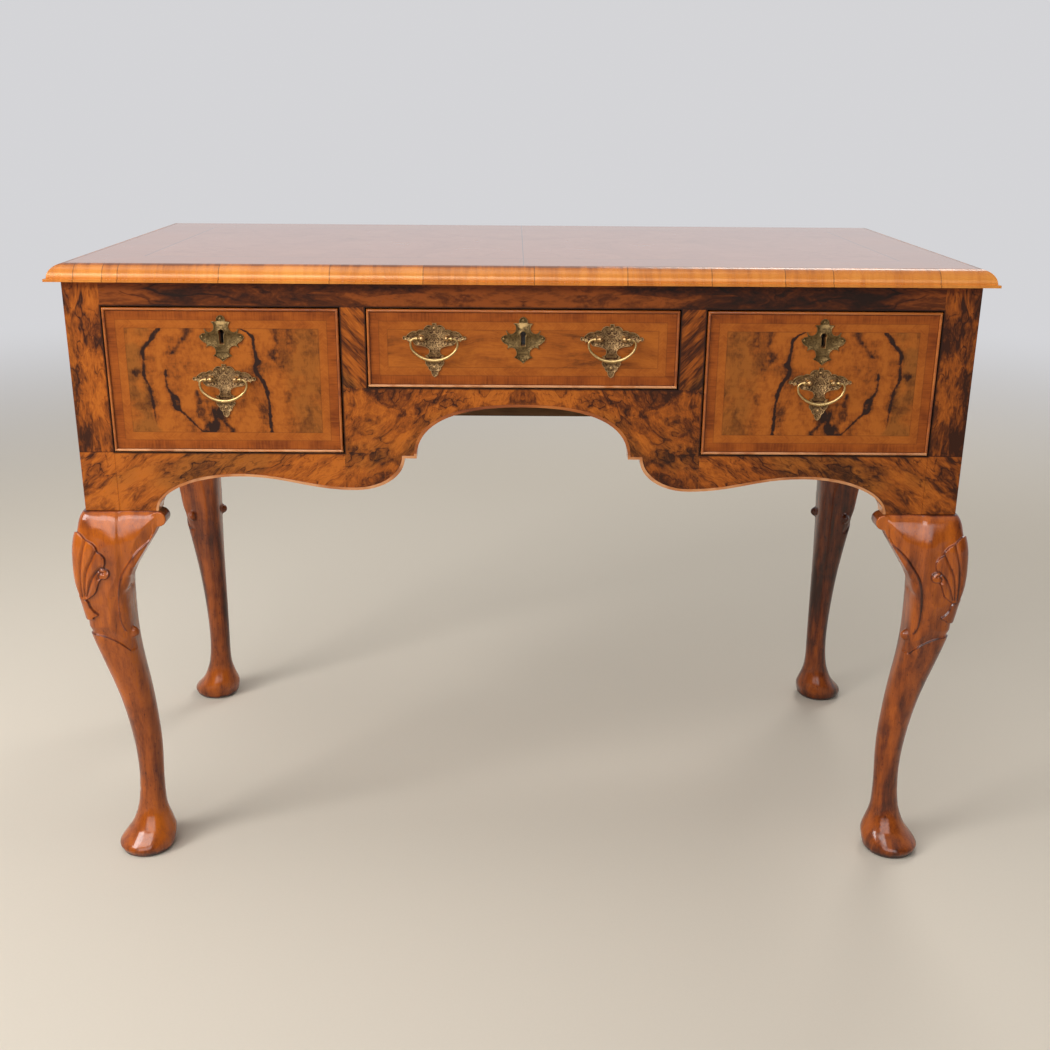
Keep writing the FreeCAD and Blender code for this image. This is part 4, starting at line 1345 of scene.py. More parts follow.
def arc(centre: Point2, radius: float, start: float, end: float, steps: int) -> list[Point2]:
    """Points on an arc.

    Args:
        centre: Its centre.
        radius: Its radius.
        start, end: Its first and last angle, in radians.
        steps: How many stretches it has.

    Returns:
        The points, ends included.
    """
    angles = [start + (end - start) * step / steps for step in range(steps + 1)]
    return [(centre[0] + radius * math.cos(a), centre[1] + radius * math.sin(a)) for a in angles]


def smooth_line(points: Sequence[Point2], steps: int = 8) -> np.ndarray:
    """A smooth line through points.

    Args:
        points: What it goes through.
        steps: How many stretches there are between two points.

    Returns:
        The points of the line, one a row.
    """
    known = np.array([points[0], *points, points[-1]], dtype=float)
    line = [known[1]]
    for before, start, end, after in zip(known, known[1:], known[2:], known[3:]):
        bend = 2.0 * before - 5.0 * start + 4.0 * end - after
        twist = 3.0 * start - before - 3.0 * end + after
        for step in range(1, steps + 1):
            t = step / steps
            line.append(0.5 * (2.0 * start + (end - before) * t + bend * t ** 2 + twist * t ** 3))
    return np.array(line)


def distance_to(line: np.ndarray, places: np.ndarray) -> np.ndarray:
    """How far places are from a line.

    Args:
        line: Its points, one a row.
        places: The places, one a row.

    Returns:
        One distance for each place.
    """
    best = np.full(len(places), np.inf)
    for start, end in zip(line[:-1], line[1:]):
        run = end - start
        share = np.clip((places - start) @ run / max(run @ run, 1e-12), 0.0, 1.0)
        best = np.minimum(best, np.linalg.norm(places - start - share[:, None] * run, axis=1))
    return best


def inside(outline: np.ndarray, places: np.ndarray) -> np.ndarray:
    """Whether places are inside an outline.

    Args:
        outline: Its corners, one a row.
        places: The places, one a row.

    Returns:
        True for each place inside.
    """
    hit = np.zeros(len(places), dtype=bool)
    for start, end in zip(outline, np.roll(outline, -1, axis=0)):
        spans = (start[1] > places[:, 1]) != (end[1] > places[:, 1])
        rise = end[1] - start[1] if end[1] != start[1] else 1e-12
        crossing = start[0] + (places[:, 1] - start[1]) / rise * (end[0] - start[0])
        hit ^= spans & (places[:, 0] < crossing)
    return hit


def eased(value: np.ndarray) -> np.ndarray:
    """A soft step from 0 to 1."""
    held = np.clip(value, 0.0, 1.0)
    return held * held * (3.0 - 2.0 * held)


@dataclass
class Carving:
    """The carving of a knee, drawn on its two outer faces.

    Points are distances in from the carcass corner, and heights, in millimetres.

    Attributes:
        shell: Whether the leaf shell and its husk are there.
        cut_width: Half the width of a cut.
        cut_depth: Depth of a cut.
        ground: How far the ground round the shell is lowered.
        fade: How soon the lowered ground runs out.
        step: How far the wood above the arch and beside the scroll is lowered.
        step_fade: How soon that runs out.
        bevel: Width of the edges of what is raised.
        arch_dirt, scroll_dust_and_shade, leaf_dust_and_shade, edge_dust_and_shade: How far the dust and
        painted shade of the carving reach from what they name.
        shell_edge, husk_edge: The outlines of the shell and of its husk.
        leaf_cuts: The cuts between the leaves of the shell.
        eye, eye_radius: The eye of its scroll.
        arch: The edge of the arch under the shell.
        bead_outer: The outer edge of the scroll.
    """

    shell: bool
    cut_width: float = 3.6
    cut_depth: float = 2.2
    ground: float = 2.8
    fade: float = 15.0
    step: float = 2.5
    step_fade: float = 13.0
    bevel: float = 1.3
    arch_dirt: float = 1.6
    scroll_dust_and_shade: float = 2.2
    leaf_dust_and_shade: float = 1.7
    edge_dust_and_shade: float = 1.4
    shell_edge: tuple[Point2, ...] = (
        (-40, 456), (-12, 450), (-5, 447), (1, 441), (7, 438), (12, 433), (13.5, 427), (18, 424),
        (21.5, 419), (21.5, 413), (20, 407), (24.5, 404), (25.5, 399), (22, 394.5), (16, 394), (12, 388),
        (7, 376), (-1, 369), (-8, 366), (-40, 364),
    )
    husk_edge: tuple[Point2, ...] = (
        (-40, 364), (-12, 365), (-5, 362), (-3, 355), (2, 348), (5.5, 344.5), (-1, 341.5), (-5, 338),
        (-40, 334),
    )
    leaf_cuts: tuple[tuple[Point2, ...], ...] = (
        ((1, 441), (-4, 424), (-8, 404), (-10.5, 369)),
        ((12.5, 428), (5, 414), (-2, 398), (-6.5, 370)),
        ((18, 408), (9, 399), (3, 388), (-4, 370)),
        ((17, 401.5), (14.5, 404.5), (17, 407), (21, 406.5), (24.5, 403)),
        ((17, 401.5), (13.5, 398), (14, 394)),
    )
    eye: Point2 = (19.0, 401.0)
    eye_radius: float = 1.9
    arch: tuple[Point2, ...] = (
        (-16, 317), (-7, 316.5), (5, 315.5), (15.5, 311.5), (25.5, 305), (32.5, 298), (37, 292.5),
    )
    bead_outer: tuple[Point2, ...] = (
        (79, 440), (64, 429), (54, 418), (44, 403.5), (38.5, 391), (35, 374.5), (33, 358.5), (32.5, 344),
        (33.5, 331), (36.5, 322),
    )

    def depth(self, places: np.ndarray) -> tuple[np.ndarray, np.ndarray]:
        """How deep the wood is cut.

        Args:
            places: Where, one place a row.

        Returns:
            The depth in millimetres, and from 0 to 1 how much dust and painted shade lies there.
        """
        arch = smooth_line(self.arch)
        scroll = smooth_line(self.bead_outer)
        above = places[:, 1] - np.interp(places[:, 0], arch[:, 0], arch[:, 1])
        outside = np.interp(places[:, 1], scroll[::-1, 1], scroll[::-1, 0]) - places[:, 0]
        lowered = np.maximum(self._lowered(arch, above, places), self._lowered(scroll, outside, places))
        lowered *= self.step
        # Dust and painted shade above the arch and beside the scroll, where the ground is lowered.
        on_arch = self._dirt(arch, places, self.arch_dirt) * (above > 0.0)
        dust_and_shade = np.maximum(on_arch, self._dirt(scroll, places, self.scroll_dust_and_shade))
        if self.shell:
            cut = np.zeros(len(places))
            for line in (smooth_line(points) for points in self.leaf_cuts):
                near = np.clip(1.0 - distance_to(line, places) / self.cut_width, 0.0, 1.0)
                cut = np.maximum(cut, near ** 1.4)
                dust_and_shade = np.maximum(dust_and_shade, 0.8 * self._dirt(line, places, self.leaf_dust_and_shade))
            eye = np.linalg.norm(places - np.array(self.eye), axis=1)
            cut = np.maximum(cut, eased(1.3 - eye / self.eye_radius))
            raised = np.zeros(len(places), dtype=bool)
            gap = np.full(len(places), np.inf)
            for edge in (self.shell_edge, self.husk_edge):
                outline = smooth_line((*edge, edge[0]), 5)
                raised |= inside(outline, places)
                gap = np.minimum(gap, distance_to(outline, places))
            round_it = eased(gap / self.bevel) * np.exp(-((gap / self.fade) ** 2))
            lowered = np.where(raised, self.cut_depth * cut, np.maximum(lowered, self.ground * round_it))
            # Dust and painted shade round the shell's edge.
            dust_and_shade = np.where(raised, dust_and_shade, np.maximum(dust_and_shade, 0.8 * eased(1.6 - gap / self.edge_dust_and_shade)))
        return lowered, dust_and_shade

    def _lowered(self, line: np.ndarray, beyond: np.ndarray, places: np.ndarray) -> np.ndarray:
        """How far the wood on one side of a line is lowered.

        Args:
            line: The line's points, one a row.
            beyond: Above zero on the side that is lowered.
            places: Where, one place a row.

        Returns:
            From 0 to 1.
        """
        gap = distance_to(line, places)
        return (beyond > 0.0) * eased(gap / self.bevel) * np.exp(-((gap / self.step_fade) ** 2))

    @staticmethod
    def _dirt(line: np.ndarray, places: np.ndarray, reach: float) -> np.ndarray:
        """How much dust and painted shade lies along a line, from 0 to 1."""
        return eased(1.0 - distance_to(line, places) / reach)


@dataclass
class Leg:
    """A cabriole leg with its two knee blocks, and the post above it.

    Attributes:
        side, end: Its corner.
        carving: What is carved on its knee.
        wood: Its finish.
        veneer: The finish of its post.
        grid: The grain of the mesh while it is carved.
        corner: Where the carcass corner stands, without signs.
        top: The height of its joint with the post.
        gap: Half the dark gap at that joint.
        arris: How far the corners of the post are rubbed off.
        passes: How often the mesh is smoothed before it is carved.
        share: The share of faces that is kept after carving.
        knob: How far in from the corner the knob of the scroll stands.
        knob_height: The height of the knob.
        knob_size: Half its size along the face, out of it and up.
        knob_sunk: How far its middle lies in the leg.
        roll: How far in from the corner, and how high, the middle of a block's rolled end lies.
        roll_radius, roll_depth: The size of that end.
        roll_proud: How far it stands before the carcass.
        seam: How far in the joint with a block lies, how far beside it is rubbed, and from what height.
        seam_passes: How often it is rubbed.
        chin: How far in the lower end of a block starts, and its height.
        chin_rubs: How far above and below it is rubbed, and how often.
        knee: The heights between which the mesh is made finer, and how far in.
        carved: The height above which the leg is carved.
        joint_dirt: How far the painted shadow reaches under the joint with the post.
        roll_dirt: The height above which painted shade lies beside a rolled end.
        outward: How squarely wood must face out to be carved, and how much more for the full depth.

    From seam on, lengths are in millimetres.
    """

    side: Side
    end: End
    carving: Carving
    wood: bpy.types.Material
    veneer: bpy.types.Material
    grid: float
    corner: Point2 = (0.518, 0.2535)
    top: float = 0.4735
    gap: float = 0.0002
    arris: float = 0.0006
    passes: int = 6
    share: float = 0.4
    knob: float = 0.0408
    knob_height: float = 0.3166
    knob_size: Point3 = (0.0082, 0.0060, 0.0076)
    knob_sunk: float = 0.0020
    roll: Point2 = (0.0860, 0.4640)
    roll_radius: float = 0.0092
    roll_depth: float = 0.0240
    roll_proud: float = 0.0050
    seam: Point3 = (40.0, 8.0, 384.0)
    seam_passes: int = 30
    chin: Point2 = (37.0, 377.0)
    chin_rubs: tuple[tuple[float, int], ...] = ((30.0, 60), (18.0, 90))
    knee: Point3 = (288.0, 460.0, 84.0)
    carved: float = 285.0
    joint_dirt: float = 2.2
    roll_dirt: float = 450.0
    outward: Point2 = (0.1, 0.3)

    @property
    def corner_name(self) -> str:
        """The corner's name as the solids use it."""
        return f"{self.end.word}_{self.side.word}"

    def build(self) -> None:
        """Makes the leg and its post."""
        node = f"leg_{self.corner_name}"
        leg = self._sawn(mesh_of(node), self.top - self.gap, False)
        self._add_knobs(leg)
        self._add_blocks(leg)
        self._add_rolls(leg)
        mesh = bpy.data.meshes.new(node)
        leg.to_mesh(mesh)
        leg.free()
        mesh = worked(mesh, "REMESH", mode="VOXEL", voxel_size=self.grid, use_smooth_shade=True)
        mesh = worked(mesh, "SMOOTH", factor=0.5, iterations=self.passes)
        self._ease(mesh)
        self._carve(mesh)
        mesh = worked(mesh, "DECIMATE", ratio=self.share)
        smooth_all(mesh)
        nodes = (node, f"knee_blocks_{self.end.word}")
        add_piece(f"cabriole_{self.corner_name}", mesh, self.wood, "carcass", nodes)
        post = self._sawn(mesh_of(node), self.top + self.gap, True)
        upright = [edge for edge in post.edges if self._is_arris(edge)]
        bmesh.ops.bevel(post, geom=upright, offset=self.arris, segments=2, affect="EDGES")
        add_piece(f"post_{self.corner_name}", post, self.veneer, "carcass", (node,))

    @staticmethod
    def _is_arris(edge: bmesh.types.BMEdge) -> bool:
        """Whether an edge is a long upright corner."""
        start, end = edge.verts
        return abs(start.co.z - end.co.z) > 0.1 and edge.calc_face_angle(0.0) > 1.0

    @staticmethod
    def _sawn(shape: bmesh.types.BMesh, height: float, keep_above: bool) -> bmesh.types.BMesh:
        """Saws a shape through at a height and closes it.

        Args:
            shape: What is sawn.
            height: Where.
            keep_above: Whether the upper part is kept.

        Returns:
            The same shape.
        """
        cut = bmesh.ops.bisect_plane(
            shape,
            geom=[*shape.verts, *shape.edges, *shape.faces],
            plane_co=(0.0, 0.0, height),
            plane_no=(0.0, 0.0, 1.0),
            clear_inner=keep_above,
            clear_outer=not keep_above,
        )
        rim = [item for item in cut["geom_cut"] if isinstance(item, bmesh.types.BMEdge)]
        bmesh.ops.holes_fill(shape, edges=rim)
        return shape

    def _add_blocks(self, leg: bmesh.types.BMesh) -> None:
        """Adds this leg's knee blocks."""
        blocks = mesh_of(f"knee_blocks_{self.end.word}")
        others = [vert for vert in blocks.verts if vert.co.x * self.side.value < 0.0]
        bmesh.ops.delete(blocks, geom=others, context="VERTS")
        mesh = bpy.data.meshes.new("blocks")
        blocks.to_mesh(mesh)
        blocks.free()
        leg.from_mesh(mesh)
        bpy.data.meshes.remove(mesh)

    def _outer_faces(self) -> tuple[tuple[Vector, Vector], ...]:
        """For each outer face, the way along it from the corner and the way into the leg."""
        across = Vector((-self.side.value, 0.0, 0.0))
        back = Vector((0.0, -self.end.value, 0.0))
        return (across, back), (back, across)

    def _corner_at(self, height: float) -> Vector:
        """The carcass corner at a height."""
        return Vector((self.corner[0] * self.side.value, self.corner[1] * self.end.value, height))

    def _add_rolls(self, leg: bmesh.types.BMesh) -> None:
        """Adds the rolled inner end of each knee block."""
        for along, inwards in self._outer_faces():
            inset = self.roll_depth / 2.0 - self.roll_proud
            middle = self._corner_at(self.roll[1]) + along * self.roll[0] + inwards * inset
            turn = Matrix((along, UP, inwards)).transposed().to_4x4()
            bmesh.ops.create_cone(
                leg,
                cap_ends=True,
                segments=48,
                radius1=self.roll_radius,
                radius2=self.roll_radius,
                depth=self.roll_depth,
                matrix=Matrix.Translation(middle) @ turn,
            )

    def _add_knobs(self, leg: bmesh.types.BMesh) -> None:
        """Adds the knob of each scroll, on the inner edge of each outer face."""
        tree = BVHTree.FromBMesh(leg)
        corner = self._corner_at(self.knob_height)
        for along, inwards in self._outer_faces():
            middle = tree.find_nearest(corner + along * self.knob)[0] + inwards * self.knob_sunk
            turn = Matrix((along, inwards, UP)).transposed().to_4x4()
            size = Matrix.Diagonal((*self.knob_size, 1.0))
            bmesh.ops.create_icosphere(
                leg, subdivisions=3, radius=1.0, matrix=Matrix.Translation(middle) @ turn @ size
            )

    def _faces(self, places: np.ndarray, normals: np.ndarray) -> tuple[np.ndarray, np.ndarray]:
        """Where points lie on the two outer faces.

        Args:
            places: The points, one a row.
            normals: Their normals.

        Returns:
            Distance in from the carcass corner and height, in millimetres, and how squarely each faces out.
        """
        across = self.corner[0] - self.side.value * places[:, 0]
        back = self.corner[1] - self.end.value * places[:, 1]
        facing = np.maximum(normals[:, 0] * self.side.value, normals[:, 1] * self.end.value)
        return np.column_stack((np.maximum(across, back), places[:, 2])) / MM, facing

    @staticmethod
    def _rub(places: np.ndarray, edges: np.ndarray, chosen: np.ndarray, passes: int) -> None:
        """Moves points towards the middle of their neighbours.

        Args:
            places: The points, one a row; they are changed.
            edges: The two points of each edge.
            chosen: True for the points that move.
            passes: How many times.
        """
        used = edges[chosen[edges].any(axis=1)]
        starts, ends = np.concatenate((used, used[:, ::-1])).T
        count = np.bincount(starts, minlength=len(places))[chosen][:, None]
        for _ in range(passes):
            total = [np.bincount(starts, places[ends, axis], len(places))[chosen] for axis in range(3)]
            places[chosen] += 0.5 * (np.column_stack(total) / count - places[chosen])

    def _ease(self, mesh: bpy.types.Mesh) -> None:
        """Rubs down the joints with the blocks, and makes the mesh of a carved knee finer.

        Args:
            mesh: The leg.
        """
        places, normals = points_of(mesh)
        edges = np.empty(len(mesh.edges) * 2, dtype=np.int32)
        mesh.edges.foreach_get("vertices", edges)
        edges = edges.reshape(-1, 2)
        drawn, facing = self._faces(places, normals)
        in_by, height = drawn.T
        middle, beside, foot = self.seam
        seam = (abs(in_by - middle) < beside) & (height > foot) & (height < self.top / MM - 1.5)
        self._rub(places, edges, seam & (facing > 0.3), self.seam_passes)
        start, level = self.chin
        for reach, passes in self.chin_rubs:
            self._rub(places, edges, (abs(height - level) < reach) & (in_by > start), passes)
        mesh.vertices.foreach_set("co", places.ravel())
        if not self.carving.shell:
            return
        low, high, far = self.knee
        knee = (height > low) & (height < high) & (facing > 0.0) & (in_by < far)
        shape = bmesh.new()
        shape.from_mesh(mesh)
        shape.edges.ensure_lookup_table()
        fine = [shape.edges[index] for index in np.flatnonzero(knee[edges].all(axis=1))]
        bmesh.ops.subdivide_edges(shape, edges=fine, cuts=1, use_grid_fill=True)
        shape.to_mesh(mesh)
        shape.free()

    def _carve(self, mesh: bpy.types.Mesh) -> None:
        """Cuts the carving into the knee, inwards only.

        Args:
            mesh: The leg.
        """
        places, normals = points_of(mesh)
        drawn, facing = self._faces(places, normals)
        in_by, height = drawn.T
        least, more = self.outward
        near = (height > self.carved) & (facing > least)
        depth = np.zeros(len(places))
        dust_and_shade = np.zeros(len(places))
        depth[near], dust_and_shade[near] = self.carving.depth(drawn[near])
        weight = eased((facing - least) / more)
        places -= normals * (depth * weight * MM)[:, None]
        places = np.clip(places, CAD_BOX[0], CAD_BOX[1])
        mesh.vertices.foreach_set("co", places.ravel())
        # The dust and painted shade of the carving, with the painted shadow and painted shade below, are
        # stored for the finish.
        cuts = mesh.attributes.new(DUST_AND_SHADE_LAYER, "FLOAT", "POINT")
        # Painted shadow under the joint with the post.
        joint = eased(1.0 - (self.top / MM - height) / self.joint_dirt) * (facing > -0.3)
        # Painted shade on the sides of the rolled ends, which face away from the light.
        beside = eased((in_by - self.roll[0] / MM + 3.0) / 5.0) * eased(1.1 - facing / 0.8) * 0.8
        dust_and_shade = np.maximum(dust_and_shade * weight, np.maximum(joint, beside * (height > self.roll_dirt)))
        cuts.data.foreach_set("value", dust_and_shade)
        mesh.update()


@dataclass
class Carcass:
    """The boards of the carcass, with the legs under it.

    Attributes:
        drawer_line: The height of the lower edge of the side drawers' openings.
        grids: The grain of the mesh of a front leg and of a rear leg while it is carved.
    """

    drawer_line: float = field(default_factory=lambda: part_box("apron_left")[1][2])
    grids: Point2 = (0.0011, 0.0016)

    def build(self) -> None:
        """Dresses the boards and carves the legs."""
        corner = CornerVeneer("corner_veneer", self.drawer_line).material()
        dress(corner, "apron_left", "apron_right")
        self._boards()
        self._inside()
        wood = LegWalnut("leg_walnut", LEG, Grain.Z, 0.26, LEG_POLISH, 75.0).material()
        for end in End:
            front = end is End.FRONT
            for side in Side:
                grid = self.grids[0] if front else self.grids[1]
                Leg(side, end, Carving(shell=front), wood, corner, grid).build()

    def _boards(self) -> None:
        """Veneers the boards that are seen from outside."""
        arch = BurrVeneer("arch_veneer", size=0.046, slant=0.35, start=(0.9, 0.4, 0.7), shade=0.06)
        dress(arch.material(), "apron_centre")
        rail = BurrVeneer("rail_veneer", RAIL, 0.06, (0.35, 1.0, 1.5), start=(0.2, 3.0, 0.1), shade=0.04)
        dress(rail.material(), "top_rail")
        divider = BurrVeneer("divider_veneer", BURR, 0.045, (2.0, 1.0, 0.6), -0.9, (1.3, 0.0, 0.6), 0.15)
        dress(divider.material(), "divider_left", "divider_right")
        panel = BurrVeneer("side_veneer", size=0.095, start=(2.0, 0.3, 0.5), shade=-0.05, match=Match.ALONG)
        dress(panel.material(), "side_panel_left", "side_panel_right")
        # The apron bead gets the painted highlight along its whole length.
        bead = BeadWood("bead_wood", BEAD, Grain.X, 0.24, LEG_POLISH, foot=self.drawer_line)
        dress(bead.material(), "apron_beads")

    @staticmethod
    def _inside() -> None:
        """Dresses the plain wood inside and behind, and the screws."""
        back = SolidWood("back_pine", OLD_PINE, Grain.X, 0.6, DRY, 110.0)
        dress(back.material(), "back_panel")
        inner = SolidWood("inner_pine", OLD_PINE, Grain.Y, 0.6, DRY, 45.0)
        dress(inner.material(), "partition_left", "partition_right")
        oak = SolidWood("runner_oak", OAK, Grain.Y, 0.5, DRY, 90.0)
        dress(oak.material(), "drawer_runners", "drawer_guides", "drawer_kickers", "drawer_stops")
        dress(Iron("screw_iron").material(), "top_screws")


@dataclass
class TableTop:
    """The veneered top and its mouldings.

    Attributes:
        panel, mouldings: Their solids.
    """

    panel: str = "top_panel"
    mouldings: str = "top_mouldings"

    def build(self) -> None:
        """Dresses the top."""
        low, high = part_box(self.panel)
        dress(TopVeneer("top_veneer", high[0], low[1], high[1], high[2]).material(), self.panel)
        dress(MouldingWalnut("moulding_walnut", high[0], low[1]).material(), self.mouldings)


@dataclass
class Drawer:
    """One drawer, with its bead, linings, lock and brasses.

    Attributes:
        name: Its name as the solids use it.
        side: The side whose veneer leaf it has.
        figured: Whether its panel has dark cracks.
        handles: The ends of the names of its handles.
        bead: Width of the bead round the front.
        rim: Width of the raised rim of a plate.
        sunk: How far the field of a plate is sunk.
        stud: Radius and height of each ring of a stud.
        key_drop: How far the keyhole lies under the top of its plate.
        key_studs: Where the studs of that plate stand from the keyhole, in millimetres.
        keyhole: The radius of its eye, half the width of its slot and how far that falls, in millimetres.
        key_rim: The radius of the rim round it.
        key_tones: The rubbed and the tarnished colour of that plate.
        plate_drop: How far the posts lie under the top of a back plate.
        plate_studs: Where the studs of that plate stand from the posts' middle, in millimetres.
        post: How far a handle's post is from its middle.
        grip: How far the pin of a bail reaches into its post.
        pin_steps: How many stretches a pin has.
        bail_radii: The radius of a bail at its pins and at its foot.
        elbow: The radius of its upper corners.
        haunch: The radius of its lower corners, as a share of its fall.
        collar: Where its collars stand, half their width and how far they stand out.
        bail_tones: Its rubbed and its tarnished colour.
    """

    name: str
    side: Side
    figured: bool
    handles: tuple[str, ...] = ("",)
    bead: float = 3.0 * MM
    rim: float = 0.45 * MM
    sunk: float = 0.35 * MM
    stud: tuple[Point2, ...] = (
        (1.5 * MM, -0.6 * MM), (1.5 * MM, 0.0), (1.35 * MM, 0.35 * MM), (0.95 * MM, 0.65 * MM),
        (0.4 * MM, 0.8 * MM),
    )
    key_drop: float = 19.7 * MM
    key_studs: tuple[Point2, ...] = ((0.0, 15.8), (-22.0, -5.0), (22.0, -5.0), (0.0, -29.5))
    keyhole: Point3 = (3.9, 3.0, -13.5)
    key_rim: float = 0.6 * MM
    key_tones: tuple[Colour, Colour] = ((0.24, 0.152, 0.060), (0.048, 0.028, 0.012))
    plate_drop: float = 16.3 * MM
    plate_studs: tuple[Point2, ...] = ((0.0, 10.5), (0.0, -34.0))
    post: float = 14.0 * MM
    grip: float = 3.2 * MM
    pin_steps: int = 24
    bail_radii: Point2 = (1.25 * MM, 2.0 * MM)
    elbow: float = 5.5 * MM
    haunch: float = 0.72
    collar: Point3 = (19.6 * MM, 1.5 * MM, 1.1 * MM)
    bail_tones: tuple[Colour, Colour] = ((0.58, 0.40, 0.165), (0.19, 0.115, 0.048))

    @property
    def body(self) -> str:
        """The body that the drawer is."""
        return f"{self.name}_drawer"

    def node(self, part: str) -> str:
        """The solid of a part of this drawer."""
        return f"{self.body}_{part}"

    def build(self) -> None:
        """Makes and dresses the drawer."""
        self._front()
        self._bead()
        self._linings()
        self._keyhole_plate()
        for handle in self.handles:
            self._back_plate(handle)
            self._bail(handle)

    def _front(self) -> None:
        """Veneers the front."""
        low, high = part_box(self.node("front"))
        centre = ((low[0] + high[0]) / 2.0, (low[2] + high[2]) / 2.0)
        half = ((high[0] - low[0]) / 2.0 / MM, (high[2] - low[2]) / 2.0 / MM)
        veneer = DrawerVeneer(f"{self.name}_front_veneer", centre, half, low[1], self.side, self.figured)
        dress(veneer.material(), self.node("front"))

    def _bead(self) -> None:
        """Puts a round-nosed bead round the front."""
        low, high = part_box(self.node("cockbeads"))
        radius = self.bead / 2.0
        nose = arc((radius, low[1] + radius), radius, math.pi, 2.0 * math.pi, 10)
        profile = [(0.0, high[1]), *nose, (self.bead, high[1])]
        shape = bmesh.new()
        rows = []
        for across, up in ((-1, -1), (1, -1), (1, 1), (-1, 1)):
            x = high[0] if across > 0 else low[0]
            z = high[2] if up > 0 else low[2]
            rows.append([Vector((x - across * inset, y, z - up * inset)) for inset, y in profile])
        rings(shape, rows, closed=True)
        foot = low[2] + self.bead
        # Painted highlight along the lower bead.
        wood = BeadWood(f"{self.name}_bead_wood", BEAD, Grain.X, 0.24, LEG_POLISH, foot=foot).material()
        nodes = (self.node("cockbeads"),)
        piece = add_piece(self.node("bead"), shape, wood, self.body, nodes)
        self._soften(piece.data)

    @staticmethod
    def _soften(mesh: bpy.types.Mesh, angle: float = 0.6) -> None:
        """Shades a mesh smoothly but for its sharp edges and its flat face."""
        mesh.polygons.foreach_set("use_smooth", [abs(face.normal.y) < 0.99 for face in mesh.polygons])
        mesh.set_sharp_from_angle(angle=angle)

    def _linings(self) -> None:
        """Dresses the linings and the lock."""
        along = SolidWood(f"{self.name}_side_oak", OAK, Grain.Y, 0.5, DRY, 90.0)
        dress(along.material(), self.node("sides"))
        across = SolidWood(f"{self.name}_back_oak", OAK, Grain.X, 0.5, DRY, 90.0)
        dress(across.material(), self.node("back"), self.node("bottom"))
        dress(Iron(f"{self.name}_lock_iron").material(), self.node("lock"), self.node("lock_bolt"))
        dress(AntiqueBrass(f"{self.name}_post_brass").material(), self.node("posts"))

    def _rimmed(self, part: str, centre: Point2, studs: Iterable[Point2]) -> bmesh.types.BMesh:
        """A plate with a raised rim and studs.

        Args:
            part: The plate's part of the name.
            centre: Where its studs are measured from.
            studs: Where its studs stand, in millimetres.

        Returns:
            Its mesh.
        """
        shape = mesh_of(self.node(part))
        shape.normal_update()
        front = [face for face in shape.faces if face.normal.y < -0.99]
        bmesh.ops.inset_region(shape, faces=front, thickness=self.rim, use_even_offset=True)
        front = [face for face in front if face.is_valid]
        slope = self.rim * 0.6
        bmesh.ops.inset_region(shape, faces=front, thickness=slope, depth=-self.sunk, use_even_offset=True)
        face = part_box(self.node(part))[0][1]
        for across, up in studs:
            turned(shape, Vector((centre[0] + across * MM, face, centre[1] + up * MM)), self.stud)
        return shape

    def _keyhole_plate(self) -> None:
        """Makes the keyhole plate, with the rim of its keyhole."""
        low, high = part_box(self.node("escutcheon"))
        middle = ((low[0] + high[0]) / 2.0, high[2] - self.key_drop)
        shape = self._rimmed("escutcheon", middle, self.key_studs)
        eye, slot, fall = self.keyhole
        turn = math.acos(slot / eye)
        left = [(-slot, fall * 0.5), (-slot, fall), (-slot * 0.5, fall - 0.6)]
        outline = arc((0.0, 0.0), eye, -turn, math.pi + turn, 22)
        outline += left + [(-x, z) for x, z in reversed(left)]
        path = [Vector((middle[0] + x * MM, low[1], middle[1] + z * MM)) for x, z in outline]
        tube(shape, path, [self.key_rim] * len(path), 10, closed=True)
        name = f"{self.name}_keyhole_brass"
        brass = AntiqueBrass(name, *self.key_tones, middle, engraved=0.45, rough=0.40, rim=low[1])
        nodes = (self.node("escutcheon"),)
        piece = add_piece(self.node("keyhole_plate"), shape, brass.material(), self.body, nodes)
        self._soften(piece.data)

    def _back_plate(self, handle: str) -> None:
        """Makes the plate behind a handle.

        Args:
            handle: The end of the handle's name.
        """
        part = f"backplate{handle}"
        low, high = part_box(self.node(part))
        middle = ((low[0] + high[0]) / 2.0, high[2] - self.plate_drop)
        shape = self._rimmed(part, middle, self.plate_studs)
        name = f"{self.name}_plate_brass{handle}"
        brass = AntiqueBrass(name, centre=middle, engraved=0.9, rough=0.34, rim=low[1])
        nodes = (self.node(part),)
        piece = add_piece(self.node(f"plate{handle}"), shape, brass.material(), self.body, nodes)
        self._soften(piece.data)

    def _bail(self, handle: str) -> None:
        """Makes a swelling bail.

        Args:
            handle: The end of the handle's name.
        """
        part = f"bail{handle}"
        low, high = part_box(self.node(part))
        pin = (high[1] - low[1]) / 2.0
        pivot = Vector(((low[0] + high[0]) / 2.0, (low[1] + high[1]) / 2.0, high[2] - pin))
        drop = high[2] - low[2] - 2.0 * pin
        line = self._bail_line((high[0] - low[0]) / 2.0 - pin, drop)
        path = [pivot + Vector((x, 0.0, z)) for x, z in line]
        shape = bmesh.new()
        tube(shape, path, [self._bail_radius(x, z, drop) for x, z in line], 16)
        name = f"{self.name}_bail_brass{handle}"
        brass = AntiqueBrass(name, *self.bail_tones, rough=0.26)
        body = f"{self.name}_bail{handle}"
        nodes = (self.node(part),)
        piece = add_piece(self.node(f"swing{handle}"), shape, brass.material(), body, nodes)
        smooth_all(piece.data)

